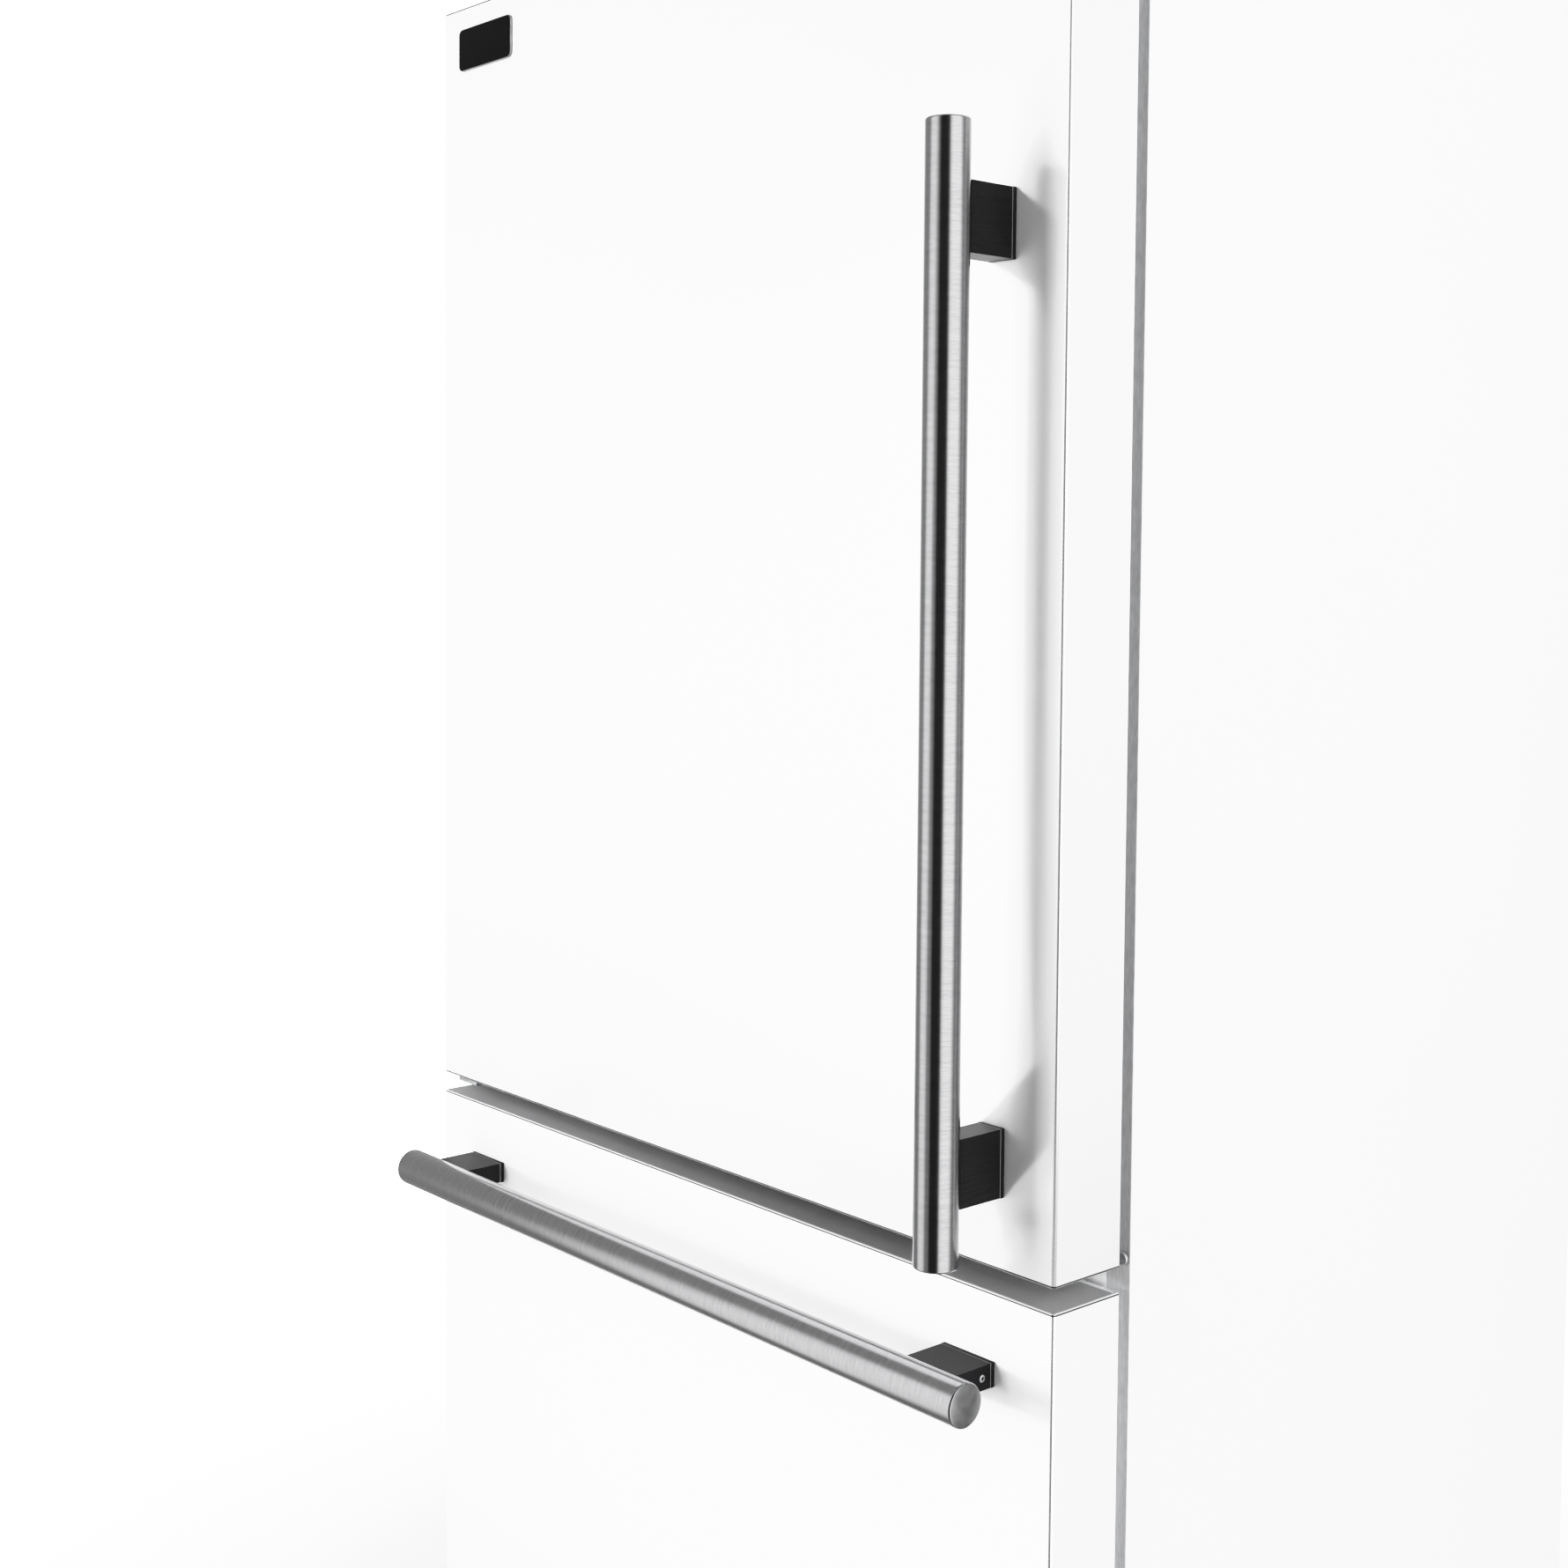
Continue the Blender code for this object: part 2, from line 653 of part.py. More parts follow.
def hinges(steel, plastic):
    """Top and middle hinge brackets, each a bent plate with the pin that the door turns on."""
    reach = (HINGE_Y - 0.016, CABINET_FRONT + 0.110)
    wide = (0.0035 - HALF, 0.060 - HALF)
    plate = box(wide, reach, (DOOR_TOP + CLEAR, DOOR_TOP + CLEAR + HINGE_PLATE))
    pin_top = DOOR_TOP + 0.002
    pin = cylinder(
        (HINGE_X, HINGE_Y, pin_top - PIN_DEPTH / 2), (0, 0, 1), PIN_RADIUS, PIN_DEPTH, sides=16
    )
    build("top_hinge_bracket", steel, plate, join=(pin,))
    cover = open_box(
        (-HALF, 0.066 - HALF),
        (COVER_FRONT, CABINET_FRONT + 0.120),
        (DOOR_TOP + 0.0008, HEIGHT),
        0.0025,
        (0, 0, -1),
    )
    notch = box(
        (0.0030 - HALF, 0.0606 - HALF),
        (COVER_FRONT - 0.001, COVER_FRONT + 0.004),
        (DOOR_TOP, DOOR_TOP + CLEAR + HINGE_PLATE + 0.0006),
    )
    build("top_hinge_cover", plastic, cover, cut=(notch,))
    middle = (DOOR_BOTTOM + DRAWER_TOP) / 2
    arm = box(
        (0.001 - HALF, 0.034 - HALF),
        (HINGE_Y - 0.014, CABINET_FRONT - CLEAR),
        span(middle, HINGE_PLATE / 2),
    )
    flange = box(
        (0.001 - HALF, 0.062 - HALF),
        (CABINET_FRONT - CLEAR - 0.003, CABINET_FRONT - CLEAR),
        span(middle, FRONT_GAP / 2 - 0.001),
    )
    pin_length = DOOR_BOTTOM - middle + PIN_DEPTH
    pin = cylinder(
        (HINGE_X, HINGE_Y, middle + pin_length / 2), (0, 0, 1), PIN_RADIUS, pin_length, sides=16
    )
    build("middle_hinge_bracket", steel, arm, join=(flange, pin))


def hinge_hole_plug(plastic):
    """The cap over the unused hinge hole, on the right of the rail between the two openings."""
    centre = (HALF - 0.0058, CABINET_FRONT - 0.0022, DOOR_BOTTOM + 0.0036)
    shade_round(
        build("hinge_hole_plug", plastic, cylinder(centre, (0, 1, 0), 0.0054, 0.0038, sides=20))
    )


def rounded_front(inset):
    """The panel from above, drawn inset from its faces: open at the back, round at the front corners."""
    half = HALF - inset
    radius = SKIN_CORNER - inset
    path = [(-half, PANEL_BACK)]
    for side, start in ((-1, math.pi), (1, 1.5 * math.pi)):
        centre = (side * (HALF - SKIN_CORNER), FRONT + SKIN_CORNER)
        for k in range(5):
            angle = start + math.pi / 2 * k / 4
            path.append((centre[0] + radius * math.cos(angle), centre[1] + radius * math.sin(angle)))
    path.append((half, PANEL_BACK))
    return path


def panel_skin(name, steel, bottom, top, pivot):
    outline = rounded_front(0.0) + rounded_front(SKIN)[::-1]
    skin = prism(outline, lambda x, y, z: (x, y, z), bottom, top)
    build(name, steel, skin, pivot=pivot)


def panel_cap(name, plastic, low, pivot, hole):
    """The moulded end cap that closes the skin at its top or bottom."""
    outline = rounded_front(SKIN + CLEAR)
    back = PANEL_BACK - LINER_PLATE - CLEAR
    outline[0] = (outline[0][0], back)
    outline[-1] = (outline[-1][0], back)
    slab = prism(outline, lambda x, y, z: (x, y, z), low, low + CAP_THICK)
    cuts = ()
    if hole:
        centre = (HINGE_X, HINGE_Y, low + CAP_THICK / 2)
        cuts = (cylinder(centre, (0, 0, 1), PIN_HOLE, 0.02, sides=20),)
    build(name, plastic, slab, cut=cuts, pivot=pivot)


def gasket(name, rubber, bottom, top, pivot):
    deep = (PANEL_BACK + CLEAR, CABINET_FRONT - GASKET_FREE)
    outer_half = HALF - GASKET_SIDE
    ring = box(span(0, outer_half), deep, (bottom + GASKET_END, top - GASKET_END))
    inset = GASKET_END + GASKET_WIDTH
    window = box(
        span(0, outer_half - GASKET_WIDTH),
        (PANEL_BACK - 0.01, CABINET_FRONT + 0.01),
        (bottom + inset, top - inset),
    )
    build(name, rubber, ring, cut=(window,), pivot=pivot)


def door_liner(plastic, pivot):
    """The liner's flat plate, and the raised dyke that seals inside the cabinet and holds the bins."""
    plate = box(
        span(0, HALF - SKIN - CLEAR),
        (PANEL_BACK - LINER_PLATE, PANEL_BACK),
        (DOOR_BOTTOM, DOOR_TOP),
    )
    build("door_liner", plastic, plate, pivot=pivot)
    dyke = box(
        span(0, DYKE_HALF),
        (PANEL_BACK + CLEAR, PANEL_BACK + DYKE_DEPTH),
        (DYKE_BOTTOM, DYKE_TOP),
    )
    recess = box(
        span(0, DYKE_HALF - DYKE_WIDTH),
        (PANEL_BACK - 0.01, PANEL_BACK + DYKE_DEPTH + 0.01),
        (DYKE_BOTTOM + DYKE_WIDTH, DYKE_TOP - DYKE_WIDTH),
    )
    build("door_liner_dyke", plastic, dyke, cut=(recess,), pivot=pivot)


def drawer_liner(plastic, pivot):
    plate = box(
        span(0, HALF - SKIN - CLEAR),
        (PANEL_BACK - LINER_PLATE, PANEL_BACK),
        (DRAWER_BOTTOM, DRAWER_TOP),
    )
    plug = box(
        span(0, DYKE_HALF),
        (PANEL_BACK - 0.001, PANEL_BACK + PLUG_DEPTH),
        (PLUG_BOTTOM, PLUG_TOP),
    )
    build("drawer_liner", plastic, plate, join=(plug,), pivot=pivot)


def handle_bar(name, steel, centre, axis, length, pivot):
    bar = build(name, steel, cylinder(centre, axis, BAR_RADIUS, length, sides=48), pivot=pivot)
    soften(bar, 0.0012, segments=2)
    shade_round(bar)


def handle_post(name, steel, x, z, thick, tall, bar_axis, pivot):
    """A flat block from the panel to the bar, its front end hollowed to the bar's roundness."""
    bar_y = FRONT - BAR_STANDOFF
    block = box(span(x, thick / 2), (bar_y, FRONT - CLEAR), span(z, tall / 2))
    saddle = cylinder((x, bar_y, z), bar_axis, BAR_RADIUS + CLEAR, 0.2, sides=48)
    build(name, steel, block, cut=(saddle,), pivot=pivot)


def door_bin(name, plastic, bottom, top, depth, pivot):
    tray = open_box(
        span(0, BIN_HALF),
        (PANEL_BACK + 0.0005, PANEL_BACK + depth),
        (bottom, top),
        BIN_WALL,
        (0, 0, 1),
    )
    build(name, plastic, tray, pivot=pivot)


def dairy_lid(plastic):
    pivot = (0.0, DAIRY_AXIS_Y, DAIRY_AXIS_Z)
    top = box(
        span(0, BIN_HALF - 0.002),
        (DAIRY_AXIS_Y, PANEL_BACK + BIN_DEPTH + 0.003),
        span(DAIRY_AXIS_Z, 0.0015),
    )
    lip = box(
        span(0, BIN_HALF - 0.002),
        (PANEL_BACK + BIN_DEPTH + 0.0005, PANEL_BACK + BIN_DEPTH + 0.003),
        (DAIRY_AXIS_Z - 0.025, DAIRY_AXIS_Z),
    )
    build("dairy_lid", plastic, top, join=(lip,), pivot=pivot)


def badge(black, pivot):
    left = BADGE_LEFT - HALF
    top = DOOR_TOP - BADGE_DROP
    radius = 0.006
    outline = []
    corners = ((1, 1, 0.0), (-1, 1, 0.5), (-1, -1, 1.0), (1, -1, 1.5))
    for across, up, start in corners:
        x = left + BADGE_WIDTH / 2 + across * (BADGE_WIDTH / 2 - radius)
        z = top - BADGE_HEIGHT / 2 + up * (BADGE_HEIGHT / 2 - radius)
        for k in range(5):
            angle = math.pi * (start + k / 8)
            outline.append((x + radius * math.cos(angle), z + radius * math.sin(angle)))
    plate = prism(outline, lambda x, z, y: (x, y, z), FRONT - 0.0025, FRONT - CLEAR)
    build("badge_plate", black, plate, pivot=pivot)


def channel(x, y, z, web, wall):
    """A C-section along Y. web is 1 where the closed side is at high x and -1 where it is at low x."""
    low, high = x
    hollow = (low - 0.01, high - wall) if web > 0 else (low + wall, high + 0.01)
    inside = box(hollow, (y[0] - 0.01, y[1] + 0.01), (z[0] + wall, z[1] - wall))
    return box(x, y, z), inside


def slides(steel):
    """Three-part drawer slides: the outer one on the liner, the middle one nested in it."""
    deep = (SLIDE_FRONT, SLIDE_BACK)
    for side, word in ((-1, "left"), (1, "right")):
        body, inside = channel(
            mirrored(OUTER_SLIDE, side), deep, (SLIDE_LOW, SLIDE_HIGH), side, 0.0016
        )
        build("outer_slide_" + word, steel, body, cut=(inside,))
        middle = (SLIDE_LOW + 0.0022, SLIDE_HIGH - 0.0022)
        body, inside = channel(mirrored(MIDDLE_SLIDE, side), deep, middle, side, 0.0016)
        start = (side * sum(MIDDLE_SLIDE) / 2, SLIDE_FRONT, sum(middle) / 2)
        build("middle_slide_" + word, steel, body, cut=(inside,), pivot=start)


def slide_frame(steel, pivot):
    """The carriage behind the drawer front: inner slide rails with cross bars and basket ledges."""
    inner_low = SLIDE_LOW + 0.006
    inner_high = SLIDE_HIGH - 0.006
    front = PANEL_BACK + PLUG_DEPTH + CLEAR
    wide = FRAME_RAIL[0] + 0.006
    base = box(span(0, wide), (front, front + 0.006), (SLIDE_LOW + 0.004, RAIL_TOP))
    join = []
    for side in (-1, 1):
        deep = (front, SLIDE_BACK - 0.006)
        join += [
            box(mirrored((FRAME_RAIL[0] + 0.003, FRAME_RAIL[1]), side), deep, (inner_low, inner_high)),
            box(mirrored((FRAME_RAIL[0] + 0.003, wide), side), deep, (inner_low, RAIL_TOP)),
            box(
                mirrored((FRAME_RAIL[0] - 0.008, FRAME_RAIL[0] + 0.004), side),
                (BASKET_FRONT, BASKET_BACK + 0.012),
                (inner_low, inner_low + 0.002),
            ),
        ]
    join.append(
        box(
            span(0, FRAME_RAIL[0] + 0.004),
            (BASKET_BACK + 0.006, BASKET_BACK + 0.012),
            (inner_low, inner_low + 0.024),
        )
    )
    build("drawer_slide_frame", steel, base, join=join, pivot=pivot)


def freezer_basket(plastic, pivot):
    top = SLIDE_LOW + 0.0115
    rim = FRAME_RAIL[0] + 0.0015
    body = open_box(
        span(0, FRAME_RAIL[0] - 0.010),
        (BASKET_FRONT, BASKET_BACK),
        (BASKET_BOTTOM, top),
        0.003,
        (0, 0, 1),
    )
    flanges = []
    for side in (-1, 1):
        flanges.append(
            box(
                mirrored((FRAME_RAIL[0] - 0.0115, rim), side),
                (BASKET_FRONT, BASKET_BACK),
                (top - 0.0029, top),
            )
        )
    build("freezer_basket", plastic, body, join=flanges, pivot=pivot)


def freezer_tray(plastic):
    """The shallow sliding tray, whose side rims ride along the top of the carriage rails."""
    pivot = (0.0, BASKET_FRONT + 0.006, RAIL_TOP + 0.001)
    deep = (BASKET_FRONT + 0.006, BASKET_BACK + 0.020)
    floor = SLIDE_LOW + 0.034
    body = open_box(span(0, FRAME_RAIL[0] + 0.001), deep, (floor, 0.500), 0.003, (0, 0, 1))
    flanges = []
    for side in (-1, 1):
        flanges.append(
            box(
                mirrored((FRAME_RAIL[0] - 0.0005, FRAME_RAIL[0] + 0.007), side),
                deep,
                (RAIL_TOP + CLEAR, RAIL_TOP + 0.004),
            )
        )
    build("freezer_tray", plastic, body, join=flanges, pivot=pivot)


def main():
    clear_scene()
    white = make_material("white_enamel", (0.90, 0.90, 0.90), 0.25)
    skin_white = make_material("white_door_skin", (0.92, 0.92, 0.92), 0.22)
    grey = make_material("grey_plastic", (0.45, 0.45, 0.46), 0.45)
    liner = make_material("liner_plastic", (0.86, 0.87, 0.88), 0.35)
    foam = make_material("insulating_foam", (0.85, 0.78, 0.55), 0.90)
    zinc = make_material("zinc_plated_steel", (0.55, 0.56, 0.58), 0.40, 1.0)
    brushed = make_material("brushed_steel", (0.58, 0.58, 0.59), 0.28, 1.0)
    black = make_material("black_enamel", (0.02, 0.02, 0.02), 0.35)
    dark = make_material("dark_plastic", (0.05, 0.05, 0.055), 0.50)
    rubber = make_material("gasket_rubber", (0.80, 0.80, 0.80), 0.60)
    clear_plastic = make_material("clear_plastic", (0.80, 0.86, 0.88), 0.12)
    glass = make_material("shelf_glass", (0.62, 0.74, 0.72), 0.05)
    copper = make_material("copper_tube", (0.72, 0.40, 0.26), 0.35, 1.0)
    aluminium = make_material("aluminium", (0.75, 0.76, 0.78), 0.35, 1.0)

    cabinet_shell(white)
    cabinet_foam(foam)
    fridge_liner(liner)
    freezer_liner(liner)
    rear_panel(zinc)
    compressor_cover(zinc)
    base_frame(zinc)
    toe_grille(grey)
    for side, word in ((-1, "left"), (1, "right")):
        foot("front_foot_" + word, dark, side)
        roller("rear_roller_" + word, dark, side)
        crisper("crisper_" + word, clear_plastic, side)

    compressor(black)
    condenser(copper)
    fan("condenser_fan", dark, (SHROUD_X - 0.014, MACHINE_Y, FAN_Z), (1, 0, 0), FAN_RADIUS, 0.018, 0.016)
    evaporator(aluminium)
    freezer_duct_panel(liner)
    fridge_duct_panel(liner)
    light_unit(liner)
    for name, height in SHELF_HEIGHTS.items():
        shelf(name, height, liner, glass)
    crisper_cover(glass)
    hinges(zinc, grey)
    hinge_hole_plug(liner)

    door_pivot = (HINGE_X, HINGE_Y, DOOR_BOTTOM)
    panel_skin("door_skin", skin_white, DOOR_BOTTOM, DOOR_TOP, door_pivot)
    panel_cap("door_top_cap", grey, DOOR_TOP - CAP_THICK, door_pivot, hole=True)
    panel_cap("door_bottom_cap", grey, DOOR_BOTTOM, door_pivot, hole=True)
    door_liner(liner, door_pivot)
    gasket("door_gasket", rubber, DOOR_BOTTOM, DOOR_TOP, door_pivot)
    badge(black, door_pivot)
    bar_y = FRONT - BAR_STANDOFF
    bar_centre = (DOOR_BAR_X, bar_y, DOOR_BAR_MIDDLE)
    handle_bar("door_handle_bar", brushed, bar_centre, (0, 0, 1), 2 * DOOR_BAR_HALF, door_pivot)
    for word, sign in (("lower", -1), ("upper", 1)):
        z = DOOR_BAR_MIDDLE + sign * DOOR_POST_REACH
        size = (DOOR_POST_THICK, POST_LONG)
        handle_post("door_handle_post_" + word, black, DOOR_BAR_X, z, *size, (0, 0, 1), door_pivot)
    door_bin("dairy_bin", clear_plastic, 1.460, 1.557, BIN_DEPTH, door_pivot)
    dairy_lid(clear_plastic)
    door_bin("middle_bin", clear_plastic, 1.195, 1.295, BIN_DEPTH, door_pivot)
    door_bin("bottle_bin", clear_plastic, 0.930, 1.060, BIN_DEPTH, door_pivot)

    drawer_pivot = (0.0, FRONT, DRAWER_BOTTOM)
    panel_skin("drawer_skin", skin_white, DRAWER_BOTTOM, DRAWER_TOP, drawer_pivot)
    panel_cap("drawer_top_cap", grey, DRAWER_TOP - CAP_THICK, drawer_pivot, hole=False)
    panel_cap("drawer_bottom_cap", grey, DRAWER_BOTTOM, drawer_pivot, hole=False)
    drawer_liner(liner, drawer_pivot)
    gasket("drawer_gasket", rubber, DRAWER_BOTTOM, DRAWER_TOP, drawer_pivot)
    bar_centre = (DRAWER_BAR_SHIFT, bar_y, DRAWER_BAR_Z)
    length = 2 * DRAWER_BAR_HALF
    handle_bar("drawer_handle_bar", brushed, bar_centre, (1, 0, 0), length, drawer_pivot)
    for word, sign in (("left", -1), ("right", 1)):
        x = sign * DRAWER_POST_REACH
        size = (POST_LONG, DRAWER_POST_THICK)
        handle_post("drawer_handle_post_" + word, black, x, DRAWER_BAR_Z, *size, (1, 0, 0), drawer_pivot)
    slides(zinc)
    slide_frame(zinc, drawer_pivot)
    freezer_basket(clear_plastic, drawer_pivot)
    freezer_tray(clear_plastic)


main()
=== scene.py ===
"""The visual model of a free-standing refrigerator: one door above one freezer drawer.

Metres, +Z up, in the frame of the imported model. The pieces come in the order in which the
appliance is put together, from its chassis to the drawer's slides and trays, and then come the
floor, the lights, the backdrop and the camera.
"""

import math

import bmesh
import bpy
from mathutils import Matrix, Vector


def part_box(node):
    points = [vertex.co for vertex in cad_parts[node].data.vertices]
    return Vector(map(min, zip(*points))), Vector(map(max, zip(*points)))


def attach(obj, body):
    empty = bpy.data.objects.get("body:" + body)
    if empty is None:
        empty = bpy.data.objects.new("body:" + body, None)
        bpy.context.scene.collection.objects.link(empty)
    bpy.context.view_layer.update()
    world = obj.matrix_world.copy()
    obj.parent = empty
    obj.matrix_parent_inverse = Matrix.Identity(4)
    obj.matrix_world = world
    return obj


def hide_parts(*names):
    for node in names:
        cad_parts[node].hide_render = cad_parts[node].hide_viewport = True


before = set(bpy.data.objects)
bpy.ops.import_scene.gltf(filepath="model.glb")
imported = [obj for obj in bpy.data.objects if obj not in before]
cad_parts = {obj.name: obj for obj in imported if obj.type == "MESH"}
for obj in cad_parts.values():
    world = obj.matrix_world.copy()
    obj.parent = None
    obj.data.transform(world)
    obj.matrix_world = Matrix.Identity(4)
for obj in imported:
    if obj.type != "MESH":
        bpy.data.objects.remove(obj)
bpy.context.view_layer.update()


# The chassis is pressed from zinc-plated sheet steel: a floor plate, side rails, foot blocks, roller
# forks, a drain pan and the fan's shroud. Its zinc has soft grey flakes and fine rolling marks.
class Field:
    """A value that changes over a surface, held as one output socket of a node tree."""

    def __init__(self, socket):
        self.socket = socket

    def node(self, kind, settings, sockets, output=0):
        """A new node in the same tree: its settings go first, then its sockets' values or links."""
        tree = self.socket.id_data
        node = tree.nodes.new(kind)
        for name, value in settings.items():
            setattr(node, name, value)
        for name, value in sockets.items():
            if isinstance(value, Field):
                tree.links.new(value.socket, node.inputs[name])
            else:
                node.inputs[name].default_value = value
        return Field(node.outputs[output])

    def math(self, operation, first, second):
        return self.node("ShaderNodeMath", {"operation": operation}, {0: first, 1: second})

    def __add__(self, other):
        return self.math("ADD", self, other)

    def __radd__(self, other):
        return self.math("ADD", other, self)

    def __sub__(self, other):
        return self.math("SUBTRACT", self, other)

    def __rsub__(self, other):
        return self.math("SUBTRACT", other, self)

    def __mul__(self, other):
        return self.math("MULTIPLY", self, other)

    def __rmul__(self, other):
        return self.math("MULTIPLY", other, self)

    def part(self, axis):
        """One of the three numbers of a place."""
        return self.node("ShaderNodeSeparateXYZ", {}, {0: self}, axis)

    def rise(self, low, high):
        """0 below low, 1 above high, and a smooth step between."""
        settings = {"interpolation_type": "SMOOTHSTEP", "clamp": True}
        return self.node("ShaderNodeMapRange", settings, {0: self, 1: low, 2: high})

    def noise(self, scale, detail=2.0, stretch=(1.0, 1.0, 1.0)):
        """Cloudy noise between 0 and 1, with scale bumps to the metre along an axis of stretch 1."""
        spot = self.node("ShaderNodeVectorMath", {"operation": "MULTIPLY"}, {0: self, 1: stretch})
        sockets = {"Vector": spot, "Scale": scale, "Detail": detail}
        return spot.node("ShaderNodeTexNoise", {}, sockets)

    def cells(self, scale):
        """The distance to the nearest of many scattered points, scale of them to the metre."""
        sockets = {"Vector": self, "Scale": scale}
        return self.node("ShaderNodeTexVoronoi", {"feature": "F1"}, sockets)

    def pick(self, low, high):
        """The colour that this value picks between two colours, given as links or with an alpha."""
        return self.node("ShaderNodeMix", {"data_type": "RGBA"}, {0: self, 6: low, 7: high}, 2)

    def between(self, low, high):
        """The colour from low to high that this value picks."""
        return self.pick((*low, 1.0), (*high, 1.0))

    def bump(self, depth):
        """The relief of a surface whose height this value gives, depth metres from 0 to 1."""
        return self.node("ShaderNodeBump", {}, {"Strength": 1.0, "Distance": depth, "Height": self})


def finish(name, steady, vary):
    """A material: steady holds its fixed values, and vary makes the changing ones from a place."""
    material = bpy.data.materials.new(name)
    material.use_nodes = True
    tree = material.node_tree
    shader = tree.nodes["Principled BSDF"]
    for socket, value in steady.items():
        shader.inputs[socket].default_value = value
    place = Field(tree.nodes.new("ShaderNodeTexCoord").outputs["Object"])
    for socket, field in vary(place).items():
        tree.links.new(field.socket, shader.inputs[socket])
    return material


def dress(node, material):
    """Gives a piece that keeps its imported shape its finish."""
    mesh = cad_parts[node].data
    mesh.materials.clear()
    mesh.materials.append(material)
    for face in mesh.polygons:
        face.material_index = 0


def zinc_plate(place):
    flake = place.cells(70.0)
    cloud = place.noise(9.0, 3.0)
    rolled = place.noise(60.0, 2.0, (1.0, 0.06, 1.0))
    height = flake * 0.5 + rolled * 0.5
    return {
        "Base Color": (flake * 0.7 + cloud * 0.4).between((0.36, 0.37, 0.38), (0.58, 0.59, 0.60)),
        "Roughness": 0.30 + 0.25 * cloud,
        "Normal": height.bump(0.00006),
    }


zinc = finish("zinc_plated_steel", {"Metallic": 0.9}, zinc_plate)
dress("base_frame", zinc)


# Each front foot is a moulded nylon pad on a threaded stem, turned by hand to level the appliance.
# The rear rollers are hard nylon wheels on steel axles. Both have a fine moulded grain.
def moulded_black(place):
    grain = place.noise(900.0, 3.0)
    wear = place.noise(28.0, 4.0)
    return {
        "Base Color": wear.between((0.018, 0.018, 0.020), (0.055, 0.055, 0.058)),
        "Roughness": 0.38 + 0.25 * wear,
        "Normal": grain.bump(0.00008),
    }


black_nylon = finish("black_nylon", {}, moulded_black)


def link(name, bm, material, smooth=35.0):
    """A new object of a finished mesh, smooth across every edge flatter than so many degrees."""
    bmesh.ops.recalc_face_normals(bm, faces=bm.faces)
    mesh = bpy.data.meshes.new(name)
    bm.to_mesh(mesh)
    bm.free()
    mesh.materials.append(material)
    mesh.shade_smooth()
    mesh.set_sharp_from_angle(angle=math.radians(smooth))
    obj = bpy.data.objects.new(name, mesh)
    bpy.context.collection.objects.link(obj)
    return obj


def fit(obj, body, slot, *nodes):
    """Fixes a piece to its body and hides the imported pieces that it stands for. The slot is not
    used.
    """
    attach(obj, body)
    if nodes:
        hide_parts(*nodes)


def lathe(bm, rings, place, sides=32, shape=None):
    """Skins a turned piece's rings, each a (radius, height, shape strength), from base to tip.

    The shape gives the reach at an angle, as a share of the radius, where the strength is 1.
    """
    loops = []
    for radius, height, strength in rings:
        loop = []
        for i in range(sides):
            angle = 2 * math.pi * i / sides
            reach = radius if shape is None else radius * (1 - strength + strength * shape(angle))
            spot = Vector((reach * math.cos(angle), reach * math.sin(angle), height))
            loop.append(bm.verts.new(place @ spot))
        loops.append(loop)
    for lower, upper in zip(loops, loops[1:]):
        for i in range(sides):
            j = (i + 1) % sides
            bm.faces.new((lower[i], lower[j], upper[j], upper[i]))
    bm.faces.new(loops[0])
    bm.faces.new(loops[-1])


def facing(centre, axis):
    """The placing of a turned piece at a centre, with its tip towards an axis."""
    turn = Vector((0, 0, 1)).rotation_difference(Vector(axis)).to_matrix().to_4x4()
    return Matrix.Translation(centre) @ turn


FOOT_GRIPS = 20
GRIP_DEPTH = 0.06
PAD_TOP = 0.0220
STEM = 0.0060
THREAD_ROOT = 0.0054
THREADS = 19
PLAIN_TIP = 0.0230


def knurl(angle):
    """The grips round the pad's rim."""
    return 1.0 - GRIP_DEPTH * (0.5 + 0.5 * math.cos(FOOT_GRIPS * angle))


for side in ("left", "right"):
    node = "front_foot_" + side
    low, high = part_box(node)
    middle = Vector(((low.x + high.x) / 2, (low.y + high.y) / 2, low.z))
    bm = bmesh.new()
    pad = [(0.0185, 0.0, 0.0), (0.0200, 0.0006, 0.5), (0.0210, 0.0022, 1.0), (0.0210, 0.0085, 1.0)]
    pad += [(0.0200, 0.0100, 0.5), (0.0145, 0.0128, 0.0), (0.0120, 0.0134, 0.0)]
    pad += [(0.0116, 0.0216, 0.0), (0.0112, PAD_TOP, 0.0), (STEM, PAD_TOP, 0.0)]
    top = high.z - low.z
    for k in range(THREADS):
        thread = STEM if k % 2 else THREAD_ROOT
        pad.append((thread, PAD_TOP + (top - PLAIN_TIP) * (k + 1) / (THREADS + 1), 0.0))
    pad += [(THREAD_ROOT, top - 0.0006, 0.0), (0.0046, top, 0.0)]
    lathe(bm, pad, Matrix.Translation(middle), 80, knurl)
    fit(link(node + "_pad", bm, black_nylon), node, "dark_plastic", node)

    node = "rear_roller_" + side
    low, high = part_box(node)
    middle = (low + high) / 2
    wide = high.x - low.x
    bm = bmesh.new()
    tyre = [(0.0052, 0.0, 0.0), (0.0080, 0.0, 0.0), (0.0085, 0.0018, 0.0), (0.0165, 0.0018, 0.0)]
    tyre += [(0.0172, 0.0, 0.0), (0.0208, 0.0, 0.0), (0.0216, 0.0004, 0.0), (0.0220, 0.0014, 0.0)]
    tyre += [(0.0220, wide * 0.44, 0.0), (0.0214, wide * 0.47, 0.0)]
    tyre += [(radius, wide - height, none) for radius, height, none in reversed(tyre)]
    lathe(bm, tyre, facing((low.x, middle.y, middle.z), (1, 0, 0)), 64)
    fit(link(node + "_wheel", bm, black_nylon), node, "dark_plastic", node)


